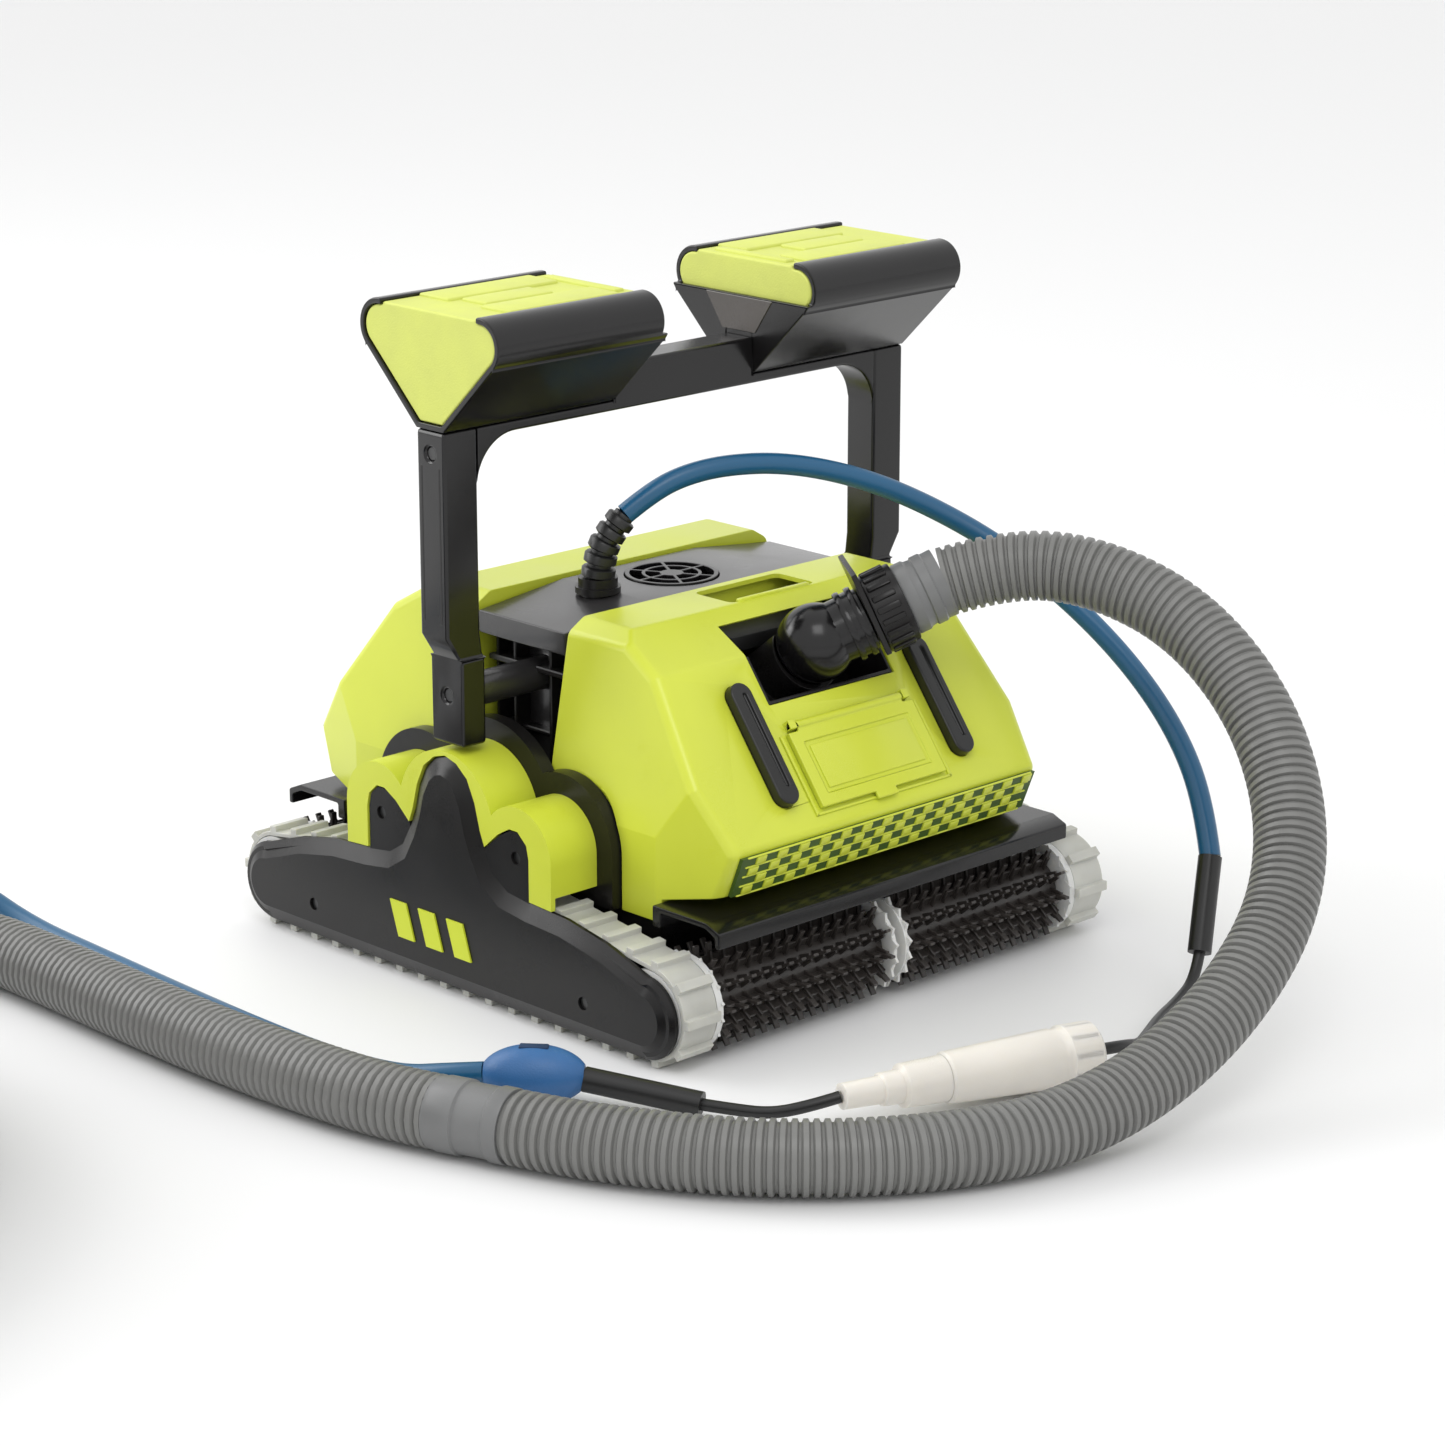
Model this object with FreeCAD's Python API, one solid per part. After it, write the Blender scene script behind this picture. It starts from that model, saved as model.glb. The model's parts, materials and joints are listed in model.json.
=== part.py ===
"""Track-driven robotic pool cleaner with a floating handle, a suction hose and a floating cable.

Millimetres, +Z up, front towards -Y. The origin is on the ground under the middle of the robot.
Each function makes one kind of piece, and main() writes every piece to parts/NODE.step.
"""
import FreeCAD, Part
import math
import os

V = FreeCAD.Vector

# ---- Driving sizes of the running gear -------------------------------------------------------
HALF_WIDTH = 203.0          # middle plane to the outer face of a side plate
AXLE_SPAN = 368.0           # front axle to rear axle
SEAT_R = 28.0               # inner radius of a track on its wheels
BAND = 3.0                  # thickness of the track's band
LUG = 4.0                   # height of the track's lugs
LUG_COUNT = 42
TRACK_WIDTH = 28.0
PLATE = 8.0                 # thickness of a side plate
PLATE_END_R = 27.0
PLATE_CHAMFER = 5.5
PULLEY_R = 22.0             # inner radius of a track on its drive pulley
PULLEY_RISE = 31.0          # drive pulley's axis above the wheel axles
AXLE_R = 5.0
SHAFT_R = 6.0
RUN_FIT = 0.06              # radial running clearance
GAP = 0.4                   # clearance of a moving piece from its neighbours

TRACK_TIP_R = SEAT_R + BAND + LUG
AXLE_Y = AXLE_SPAN / 2
AXLE_Z = TRACK_TIP_R
PULLEY_Z = AXLE_Z + PULLEY_RISE
PLATE_IN = HALF_WIDTH - PLATE
TRACK_OUT = PLATE_IN - 1.0
TRACK_IN = TRACK_OUT - TRACK_WIDTH

# ---- Rollers ---------------------------------------------------------------------------------
FLANGE_R = 31.0
FLANGE = 5.0
CORE_R = 14.0
BRUSH_BASE_R = 20.0
BRUSH_TIP_R = TRACK_TIP_R - 0.4
SLAT = 2.4
SLAT_COUNT = 12
END_DISC_R = 29.0
BRACKET = 5.0               # thickness of a centre bracket
CORE_IN = BRACKET / 2 + 1.5
FLANGE_IN = TRACK_IN - GAP - FLANGE

# ---- Body ------------------------------------------------------------------------------------
FRAME_IN = 150.0            # side frame's inner face, and the tray's outer face
FRAME_OUT = FLANGE_IN - 0.6
TRAY_Y = AXLE_Y - BRUSH_TIP_R - 3.0
TRAY_TOP = 76.0
WALL = 3.0
FLOOR_Z = 13.0              # underside of the tray
RECESS_Y = 45.0             # half width of the side recess between the covers
COVER_BASE_X = 153.0
COVER_TOP_X = 133.0
FACE_ANGLE = math.radians(52.7)
FACE_Y = -203.0             # lower edge of the sloping front face
FACE_Z = 127.0
FACE_LEN = 124.0
COVER_TOP = 247.0
COVER_WALL = 3.0
COVER_EDGE_R = 8.0
SKIRT_Z = 90.0
HOUSE_X = 112.0
HOUSE_Y = 42.0
HOUSE_Z = 96.0
CAP_Z = 222.0

# ---- Arch and side plate outlines ------------------------------------------------------------
ARCH_MID_R = 46.0
ARCH_MID_Z = 118.0
ARCH_SIDE_R = 32.0
ARCH_SIDE_Y = 68.0
ARCH_SIDE_Z = 110.0
ARCH_BASE_Z = 89.0
ARCH_WALL = 3.0
ARCH_OUT = PLATE_IN + 4.0
FRAME_LIP = 14.0            # how far the side frame shows round the arch
PEAK_TOP = 160.0
TAB_Y = 66.0
TAB_Z = 108.0
STUD_Y = 133.0
STUD_Z = 30.0
STUD_R = 7.0

# ---- Handle ----------------------------------------------------------------------------------
HANDLE_X = 206.0
POST_IN = 178.0
POST_Y = 13.0
BAR_EDGE_R = 2.0
POST_BASE_Z = 168.0
POST_JOG_Z = 241.0
FOOT_OUT = 196.0
FOOT_IN = 176.0
FOOT_Y = 15.0
PIVOT_Z = 200.0
UPPER_SCREW_Z = 358.0
BAR_Z = 366.0
BAR_TOP = 397.0
FLOAT_IN = 62.0
FLOAT_Z = 373.0
SHOULDER_Y = 48.0
SHOULDER_Z = 432.0
SHOULDER_R = 18.0
SHELL_WALL = 4.0
BLOCK_TOP = 448.0

# ---- Hose fitting ----------------------------------------------------------------------------
BALL_S = 120.0              # ball centre, measured up the sloping face
BALL_X = 4.0
BALL_R = 26.0
ELBOW_R = 21.0
ELBOW_BORE = 17.0
POCKET_X = 57.0
POCKET_S = 88.0
POCKET_DEPTH = 46.0
COLLAR_R = 26.5
CUFF_R = 24.0
HOSE_R = 22.5
HOSE_BORE = 19.0
ELBOW_DIR = V(0.733, -0.541, 0.414)
LOCK_AT = 37.0              # along the elbow from the ball's centre
LOCK = 3.6
COLLAR_LEN = 22.0
CUFF_LEN = 28.0

# ---- Cord sizes ------------------------------------------------------------------------------
CABLE_R = 7.0
LEAD_R = 3.8
SLEEVE_R = 7.8
HOSE_COIL = V(-802, 110, 0)
HOSE_COIL_R = 225.0
HOSE_TURNS_WIDE = 2
HOSE_TURNS_HIGH = 3
CABLE_COIL = V(-802, 110, HOSE_TURNS_HIGH * 2 * HOSE_R)
CABLE_COIL_R = 125.0
CABLE_TURNS_WIDE = 10
CABLE_TURNS_HIGH = 2

# ---- Cord routes, chosen by hand -------------------------------------------------------------
HOSE_FIRST = [(101, -209, 273), (130, -256, 271), (147, -319, 249), (144, -380, 206), (121, -428, 154),
              (77, -460, 107), (14, -473, 67), (-58, -474, 37), (-130, -466, 23), (-198, -446, 23),
              (-256, -408, 23), (-300, -360, 23), (-329, -311, 23), (-346, -276, 23), (-357, -243, 23)]
HOSE_SECOND = [(-373, -195, 23), (-384, -162, 23), (-392, -105, 23), (-397, -30, 23), (-397, 55, 23),
               (-394, 150, 23), (-394, 247, 23), (-434, 317, 23), (-503, 357, 23), (-580, 360, 23),
               (-655, 360, 23), (-725, 358, 23)]
CABLE_RISE = [(-52, -11, 296), (-37, -18, 308), (-16, -26, 318), (13, -38, 323), (52, -54, 321),
              (95, -75, 309), (134, -101, 289), (166, -142, 261), (186, -187, 228), (197, -232, 191),
              (200, -270, 152), (195, -298, 112), (184, -314, 80)]
SLEEVE_DROP = [(184, -314, 80), (154, -332, 26)]
LEAD_FIRST = [(154, -332, 26), (144, -337, 11), (121, -343, 4.5), (88, -355, 4.5), (56, -371, 5),
              (29, -388, 11), (3, -397, 20), (-16, -391, 20)]
SWIVEL = [(-16, -391, 20), (-146, -348, 20), (-182, -336, 20)]
LEAD_SECOND = [(-182, -336, 20), (-198, -325, 15), (-211, -307, 9), (-220, -286, 8), (-230, -268, 9)]
SLEEVE_FLOOR = [(-230, -268, 9), (-266, -204, 17)]
FLOAT_BALL = [(-266, -204, 19), (-306, -158, 19)]
CABLE_TAIL = [(-306, -158, 19), (-319, -141, 17), (-329, -108, 9), (-336, -55, 7), (-338, 20, 7),
              (-335, 110, 7), (-331, 200, 7), (-331, 275, 9), (-341, 325, 27), (-370, 352, 53),
              (-413, 360, 76), (-466, 346, 96), (-520, 322, 120), (-575, 302, 146), (-638, 296, 151),
              (-710, 297, 142), (-760, 298, 142)]


# ---- Helpers ---------------------------------------------------------------------------------
def box(x0, x1, y0, y1, z0, z1):
    return Part.makeBox(x1 - x0, y1 - y0, z1 - z0, V(x0, y0, z0))


def rod(start, end, radius):
    axis = V(*end) - V(*start)
    return Part.makeCylinder(radius, axis.Length, V(*start), axis)


def ring(start, end, radius, bore):
    return rod(start, end, radius).cut(rod(start, end, bore))


def prism_x(points, x0, x1):
    """Extrude an outline of (y, z) points from x0 to x1."""
    corners = [V(x0, y, z) for y, z in points]
    return Part.Face(Part.makePolygon(corners + corners[:1])).extrude(V(x1 - x0, 0, 0))


def prism_y(points, y0, y1):
    """Extrude an outline of (x, z) points from y0 to y1."""
    corners = [V(x, y0, z) for x, z in points]
    return Part.Face(Part.makePolygon(corners + corners[:1])).extrude(V(0, y1 - y0, 0))


def prism_z(points, z0, z1):
    """Extrude an outline of (x, y) points from z0 to z1."""
    corners = [V(x, y, z0) for x, y in points]
    return Part.Face(Part.makePolygon(corners + corners[:1])).extrude(V(0, 0, z1 - z0))


def mirrored(shape, axis):
    """Copy of a shape on the other side of the middle plane across X or Y."""
    return shape.mirror(V(0, 0, 0), V(1, 0, 0) if axis == "x" else V(0, 1, 0))


def both_ways(points):
    """Close a half outline given for y >= 0 with its mirror image."""
    return points + [(-y, z) for y, z in reversed(points) if y > 0]


def fuse(shapes):
    return shapes[0].multiFuse(shapes[1:]).removeSplitter()


def group(shapes):
    return Part.makeCompound(shapes)


def on_face(shape):
    """Move a shape from face coordinates (x, up the slope, outwards) to the front cover's sloping face."""
    placed = shape.copy()
    placed.rotate(V(0, 0, 0), V(1, 0, 0), math.degrees(FACE_ANGLE))
    placed.translate(V(0, FACE_Y, FACE_Z))
    return placed


def face_point(x, s, n):
    return V(x, FACE_Y + s * math.cos(FACE_ANGLE) - n * math.sin(FACE_ANGLE),
             FACE_Z + s * math.sin(FACE_ANGLE) + n * math.cos(FACE_ANGLE))


def slot_bar(x, s0, s1, n0, n1, radius):
    """Round-ended bar lying up the slope, in face coordinates."""
    middle = box(x - radius, x + radius, s0 + radius, s1 - radius, n0, n1)
    ends = [rod((x, s, n0), (x, s, n1), radius) for s in (s0 + radius, s1 - radius)]
    return fuse([middle] + ends)


def smooth_path(points, name):
    """Straight runs joined by tangent arcs, each as large as its two runs allow."""
    pts = [V(*p) for p in points]
    edges = []
    radii = []
    last = pts[0]
    for before, corner, after in zip(pts, pts[1:], pts[2:]):
        into = (corner - before).normalize()
        out = (after - corner).normalize()
        half = into.getAngle(out) / 2
        reach = 0.45 * min(corner.distanceToPoint(before), corner.distanceToPoint(after))
        radius = reach / math.tan(half)
        radii.append(round(radius))
        start = corner - into * reach
        end = corner + out * reach
        middle = corner + (out - into).normalize() * (radius / math.cos(half) - radius)
        edges.append(Part.LineSegment(last, start).toShape())
        edges.append(Part.Arc(start, middle, end).toShape())
        last = end
    edges.append(Part.LineSegment(last, pts[-1]).toShape())
    wire = Part.Wire(edges)
    print(name, "length", round(wire.Length), "radii", radii)
    return wire


def swept(wire, start, towards, radius):
    profile = Part.Wire(Part.makeCircle(radius, V(*start), V(*towards) - V(*start)))
    shell = Part.BRepOffsetAPI.MakePipeShell(wire)
    shell.add(profile)
    shell.build()
    shell.makeSolid()
    return shell.shape()


def tube(points, radius, name, bore=0.0):
    """Round tube along a route; its volume is compared with its section times its length."""
    wire = smooth_path(points, name)
    solid = swept(wire, points[0], points[1], radius)
    if bore:
        solid = solid.cut(swept(wire, points[0], points[1], bore))
    section = math.pi * (radius ** 2 - bore ** 2)
    print(name, "volume over section x length", round(solid.Volume / (section * wire.Length), 4))
    return solid


# ---- Side plates, arches and frames ----------------------------------------------------------
def plate_outline(grow=0.0):
    """Arms and peak of a side plate as (y, z) points, without the round ends."""
    half = [(0, PEAK_TOP + grow), (11, PEAK_TOP - 3 + grow), (20 + grow, PEAK_TOP - 11 + grow),
            (27 + grow, PEAK_TOP - 24), (32 + grow, PEAK_TOP - 42), (37 + grow, 106), (45 + grow, 92 + grow),
            (58, 84 + grow), (80, 81 + grow), (113, 79 + grow), (150, 72 + grow),
            (AXLE_Y + 8, AXLE_Z + 23 + grow), (AXLE_Y, AXLE_Z - PLATE_END_R - 2)]
    return both_ways(half)


def tab_outline(grow=0.0):
    """Screw tab beside the peak as (y, z) points on the rear side."""
    return [(36 - grow, 90), (37 - grow, 108), (50, 119 + grow), (61, 125 + grow), (69, 125 + grow),
            (76 + grow, 119), (78 + grow, 110), (78 + grow, 78), (44, 78)]


def plate_screws():
    return [(y, z) for z, ys in ((STUD_Z, STUD_Y), (TAB_Z, TAB_Y)) for y in (-ys, ys)]


def side_plate():
    """Left side plate with its peak, screw tabs, spacers and axle sockets."""
    end_z = AXLE_Z - 2
    body = prism_x(plate_outline(), -HALF_WIDTH, -PLATE_IN)
    ends = [rod((-HALF_WIDTH, y, end_z), (-PLATE_IN, y, end_z), PLATE_END_R) for y in (-AXLE_Y, AXLE_Y)]
    plate = fuse([body] + ends)
    edge = [e for e in plate.Edges if all(abs(v.X + HALF_WIDTH) < 1e-6 for v in e.Vertexes)]
    plate = plate.makeChamfer(PLATE_CHAMFER, edge)
    tabs = []
    for side in (-1, 1):
        outline = [(side * y, z) for y, z in tab_outline()]
        tabs.append(prism_x(outline, -HALF_WIDTH + 5, -PLATE_IN))
        tabs.append(rod((-PLATE_IN, side * TAB_Y, TAB_Z), (-FRAME_OUT, side * TAB_Y, TAB_Z), STUD_R))
        tabs.append(rod((-PLATE_IN, side * STUD_Y, STUD_Z), (-FRAME_IN, side * STUD_Y, STUD_Z), STUD_R))
    plate = fuse([plate] + tabs)
    for y, z in plate_screws():
        front = -HALF_WIDTH + (5 if z == TAB_Z else 0)
        plate = plate.cut(screw_hole(front, y, z))
    for y in (-AXLE_Y, AXLE_Y):
        plate = plate.cut(rod((-PLATE_IN - 5, y, AXLE_Z), (-PLATE_IN, y, AXLE_Z), AXLE_R))
    return plate


def screw(front, y, z):
    """Pan-head screw on the left side, sunk 2 mm into the face at x = front."""
    head = rod((front + 2, y, z), (front + 4.5, y, z), 4.0)
    shank = rod((front + 4.5, y, z), (front + 18, y, z), 1.9)
    return fuse([head, shank])


def screw_hole(front, y, z):
    head = rod((front - 1, y, z), (front + 4.5, y, z), 4.3)
    shank = rod((front + 4.5, y, z), (front + 20, y, z), 2.0)
    return fuse([head, shank])


def screws():
    left = [screw(-HALF_WIDTH + (5 if z == TAB_Z else 0), y, z) for y, z in plate_screws()]
    left += [screw(-FOOT_OUT, 0, PIVOT_Z), screw(-HANDLE_X, 0, UPPER_SCREW_Z)]
    return group(left + [mirrored(s, "x") for s in left])


def lobes(x0, x1, grow, base):
    """Three round lobes on a straight base, as seen from the side."""
    discs = [rod((x0, 0, ARCH_MID_Z), (x1, 0, ARCH_MID_Z), ARCH_MID_R + grow)]
    for y in (-ARCH_SIDE_Y, ARCH_SIDE_Y):
        discs.append(rod((x0, y, ARCH_SIDE_Z), (x1, y, ARCH_SIDE_Z), ARCH_SIDE_R + grow))
    reach = ARCH_SIDE_Y + ARCH_SIDE_R + grow
    whole = fuse(discs + [box(x0, x1, -reach, reach, base, ARCH_SIDE_Z)])
    return whole.common(box(x0, x1, -reach, reach, base, 400))


def side_arch():
    """Left track cover: three lobes, open below and inwards, cut out round the plate's peak and tabs."""
    outer = lobes(-ARCH_OUT, -FRAME_OUT - 0.2, 0, ARCH_BASE_Z)
    skirt = lobes(-ARCH_OUT, -PLATE_IN - 0.5, 0, PLATE_END_R + AXLE_Z + 14)
    inner = lobes(-PLATE_IN - 0.5, -FRAME_OUT + 1, -ARCH_WALL, ARCH_BASE_Z - 1)
    arch = fuse([outer, skirt]).cut(inner)
    arch = arch.cut(prism_x(plate_outline(1.2), -ARCH_OUT - 1, -PLATE_IN + 1))
    for side in (-1, 1):
        outline = [(side * y, z) for y, z in tab_outline(1.2)]
        arch = arch.cut(prism_x(outline, -ARCH_OUT - 1, -PLATE_IN + 1))
        y = side * TAB_Y
        arch = arch.cut(rod((-HALF_WIDTH, y, TAB_Z), (-FRAME_IN, y, TAB_Z), STUD_R + 0.5))
    return arch


def side_frame():
    """Left chassis panel behind the arch, which shows as a black border round it."""
    frame = lobes(-FRAME_OUT, -FRAME_IN, FRAME_LIP, TRAY_TOP)
    frame = frame.cut(rod((-FRAME_OUT - 1, 0, PULLEY_Z), (-FRAME_IN + 1, 0, PULLEY_Z), SHAFT_R + RUN_FIT))
    return frame.cut(box(-FRAME_OUT - 1, -FRAME_IN + 1, -SHAFT_R - RUN_FIT, SHAFT_R + RUN_FIT, 60, PULLEY_Z))


def side_badges():
    """Generic badge of three slanting bars on each side plate."""
    bars = []
    for step in range(3):
        y = 44 - 28 * step
        outline = [(y, 30), (y - 16, 30), (y - 8, 54), (y + 8, 54)]
        bars.append(prism_x(outline, -HALF_WIDTH - 1.2, -HALF_WIDTH))
    return group(bars + [mirrored(b, "x") for b in bars])


# ---- Tracks, pulleys and rollers -------------------------------------------------------------
def belt_circles(offset):
    wheel = SEAT_R + offset
    return [(-AXLE_Y, AXLE_Z, wheel), (0, PULLEY_Z, PULLEY_R + offset), (AXLE_Y, AXLE_Z, wheel)]


def belt_points(offset):
    """Tangent points round the two wheels and the pulley, clockwise from the front wheel's bottom."""
    circles = belt_circles(offset)
    loop = []
    for first, second in zip(circles, circles[1:] + circles[:1]):
        dy, dz = second[0] - first[0], second[1] - first[1]
        span = math.hypot(dy, dz)
        lean = math.asin((second[2] - first[2]) / span)
        angle = math.atan2(dz, dy) + math.pi / 2 + lean
        for y, z, r in (first, second):
            loop.append((y + r * math.cos(angle), z + r * math.sin(angle)))
    return loop


def belt_wire(x, offset):
    """Closed outline of the track at one height over its seat."""
    loop = belt_points(offset)
    circles = belt_circles(offset)
    edges = []
    for index in range(3):
        start, end = loop[2 * index], loop[2 * index + 1]
        edges.append(Part.LineSegment(V(x, *start), V(x, *end)).toShape())
        y, z, r = circles[(index + 1) % 3]
        follow = loop[(2 * index + 2) % 6]
        a0 = math.atan2(end[1] - z, end[0] - y)
        a1 = math.atan2(follow[1] - z, follow[0] - y)
        while a1 > a0:
            a1 -= 2 * math.pi
        mid = (a0 + a1) / 2
        middle = V(x, y + r * math.cos(mid), z + r * math.sin(mid))
        edges.append(Part.Arc(V(x, *end), middle, V(x, *follow)).toShape())
    return Part.Wire(edges)


def track():
    """Left track: a band with cross lugs, run round both wheels and the drive pulley."""
    x = -TRACK_OUT
    outer = Part.Face(belt_wire(x, BAND)).extrude(V(TRACK_WIDTH, 0, 0))
    inner = Part.Face(belt_wire(x, 0)).extrude(V(TRACK_WIDTH, 0, 0))
    centre_line = belt_wire(x, BAND)
    places = centre_line.discretize(LUG_COUNT + 1)[:-1]
    after = centre_line.discretize(8 * LUG_COUNT + 1)[1::8]
    lugs = []
    for place, beyond in zip(places, after):
        along = (beyond - place).normalize()
        angle = math.degrees(math.atan2(along.z, along.y))
        lug = box(x, x + TRACK_WIDTH, -3.2, 3.2, -1.0, LUG)
        lug.rotate(V(0, 0, 0), V(1, 0, 0), angle)
        lug.translate(V(0, place.y, place.z))
        lugs.append(lug)
    reach = AXLE_Y + TRACK_TIP_R
    return outer.cut(inner).multiFuse(lugs).common(box(x, x + TRACK_WIDTH, -reach, reach, 0, 200))


def pulley():
    """Left drive pulley with its shaft."""
    drum = rod((-TRACK_OUT, 0, PULLEY_Z), (-TRACK_IN, 0, PULLEY_Z), PULLEY_R - GAP)
    shaft = rod((-TRACK_IN, 0, PULLEY_Z), (-FRAME_IN + 30, 0, PULLEY_Z), SHAFT_R)
    return fuse([drum, shaft])


def roller_core():
    """Front left wheel, core tube and end disc in one white moulding, bored for its axle pins."""
    wheel = rod((-TRACK_OUT, -AXLE_Y, AXLE_Z), (-TRACK_IN - GAP, -AXLE_Y, AXLE_Z), SEAT_R - GAP)
    flange = rod((-TRACK_IN + GAP, -AXLE_Y, AXLE_Z), (-FLANGE_IN, -AXLE_Y, AXLE_Z), FLANGE_R)
    neck = rod((-TRACK_IN - GAP, -AXLE_Y, AXLE_Z), (-CORE_IN, -AXLE_Y, AXLE_Z), CORE_R)
    disc = rod((-CORE_IN - 3, -AXLE_Y, AXLE_Z), (-CORE_IN, -AXLE_Y, AXLE_Z), END_DISC_R)
    core = fuse([wheel, flange, neck, disc])
    return core.cut(rod((-TRACK_OUT, -AXLE_Y, AXLE_Z), (-CORE_IN, -AXLE_Y, AXLE_Z), AXLE_R + RUN_FIT))


def brush():
    """Front left brush: a sleeve with rows of slats along it."""
    x0, x1 = -FLANGE_IN + 0.5, -CORE_IN - 3.5
    sleeve = ring((x0, -AXLE_Y, AXLE_Z), (x1, -AXLE_Y, AXLE_Z), BRUSH_BASE_R, CORE_R + 0.02)
    slats = []
    for index in range(SLAT_COUNT):
        slat = box(x0, x1, -SLAT / 2, SLAT / 2, BRUSH_BASE_R - 1, BRUSH_TIP_R)
        slat.rotate(V(0, 0, 0), V(1, 0, 0), 360 * index / SLAT_COUNT + 15)
        slat.translate(V(0, -AXLE_Y, AXLE_Z))
        slats.append(slat)
    return sleeve.multiFuse(slats)


def axle_pins():
    """Stub pins in the side plates, and one through each centre bracket."""
    pins = []
    for y in (-AXLE_Y, AXLE_Y):
        pins.append(rod((-PLATE_IN - 5, y, AXLE_Z), (-TRACK_IN - 6, y, AXLE_Z), AXLE_R))
        pins.append(rod((PLATE_IN + 5, y, AXLE_Z), (TRACK_IN + 6, y, AXLE_Z), AXLE_R))
        pins.append(rod((-22, y, AXLE_Z), (22, y, AXLE_Z), AXLE_R))
    return group(pins)


def roller_brackets():
    """Centre brackets that hold the inner ends of the rollers."""
    outline = [(-TRAY_Y, FLOOR_Z + 2), (-AXLE_Y - 8, AXLE_Z - 8), (-AXLE_Y - 8, AXLE_Z + 8),
               (-TRAY_Y, TRAY_TOP - 6)]
    front = prism_x(outline, -BRACKET / 2, BRACKET / 2)
    front = front.cut(rod((-BRACKET, -AXLE_Y, AXLE_Z), (BRACKET, -AXLE_Y, AXLE_Z), AXLE_R))
    return group([front, mirrored(front, "y")])


# ---- Tray, bottom plate and flaps ------------------------------------------------------------
INLET_X = 80.0
INLET_Y = 50.0
INLET_WIDTH = 24.0
FLAP_HINGE_Y = 44.0
FLAP_PIN_R = 1.5
BOTTOM_Z = 10.0


def base_tray():
    """Open tray with two cross walls that carry the centre housing."""
    outer = box(-FRAME_IN, FRAME_IN, -TRAY_Y, TRAY_Y, FLOOR_Z, TRAY_TOP)
    in_x, in_y = FRAME_IN - WALL, TRAY_Y - WALL
    inner = box(-in_x, in_x, -in_y, in_y, FLOOR_Z + WALL, TRAY_TOP + 1)
    tray = outer.cut(inner)
    walls = []
    for side in (-1, 1):
        y0, y1 = sorted((side * (HOUSE_Y - WALL), side * HOUSE_Y))
        walls.append(box(-HOUSE_X, HOUSE_X, y0, y1, FLOOR_Z + WALL, HOUSE_Z))
    tray = fuse([tray] + walls)
    opening = box(-INLET_X - 20, INLET_X + 20, -INLET_Y - 40, INLET_Y + 40, FLOOR_Z - 1, FLOOR_Z + WALL)
    keep = box(-INLET_X - 20, INLET_X + 20, -HOUSE_Y, HOUSE_Y, FLOOR_Z, FLOOR_Z + WALL)
    tray = tray.cut(opening.cut(keep))
    for side in (-1, 1):
        x0, x1 = sorted((side * (FRAME_IN - WALL - 1), side * (FRAME_IN + 1)))
        tray = tray.cut(box(x0, x1, -26, 26, PULLEY_Z - 26, TRAY_TOP + 1))
        tray = tray.cut(rod((x0, 0, PULLEY_Z), (x1, 0, PULLEY_Z), 26))
        for y in (-STUD_Y, STUD_Y):
            tray = tray.cut(rod((x0, y, STUD_Z), (x1, y, STUD_Z), 2.0))
    return tray


def bottom_plate():
    """Removable plate with two suction inlets and the flap hinge lugs."""
    plate = box(-INLET_X - 30, INLET_X + 30, -INLET_Y - 50, INLET_Y + 50, BOTTOM_Z, FLOOR_Z)
    for side in (-1, 1):
        y0, y1 = sorted((side * INLET_Y, side * (INLET_Y + INLET_WIDTH)))
        plate = plate.cut(box(-INLET_X, INLET_X, y0, y1, BOTTOM_Z - 1, FLOOR_Z + 1))
        hinge_y = side * (FLAP_HINGE_Y + 3)
        for x in (-INLET_X - 8, INLET_X + 4):
            lug = box(x, x + 4, hinge_y - 3, hinge_y + 3, FLOOR_Z, FLOOR_Z + 7)
            plate = plate.fuse(lug)
        reach, pin_z = INLET_X + 8, FLOOR_Z + 3.6
        plate = plate.cut(rod((-reach, hinge_y, pin_z), (reach, hinge_y, pin_z), FLAP_PIN_R))
    return plate.removeSplitter()


def inlet_flap():
    """Front suction flap with its hinge barrel."""
    y = -FLAP_HINGE_Y - 3
    z = FLOOR_Z + 3.6
    leaf = box(-INLET_X - 2, INLET_X + 2, y - INLET_WIDTH - 8, y, FLOOR_Z + 0.6, FLOOR_Z + 2.8)
    barrel = rod((-INLET_X - 2, y, z), (INLET_X + 2, y, z), 3.0)
    return fuse([leaf, barrel]).cut(rod((-INLET_X - 3, y, z), (INLET_X + 3, y, z), FLAP_PIN_R + RUN_FIT))


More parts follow.
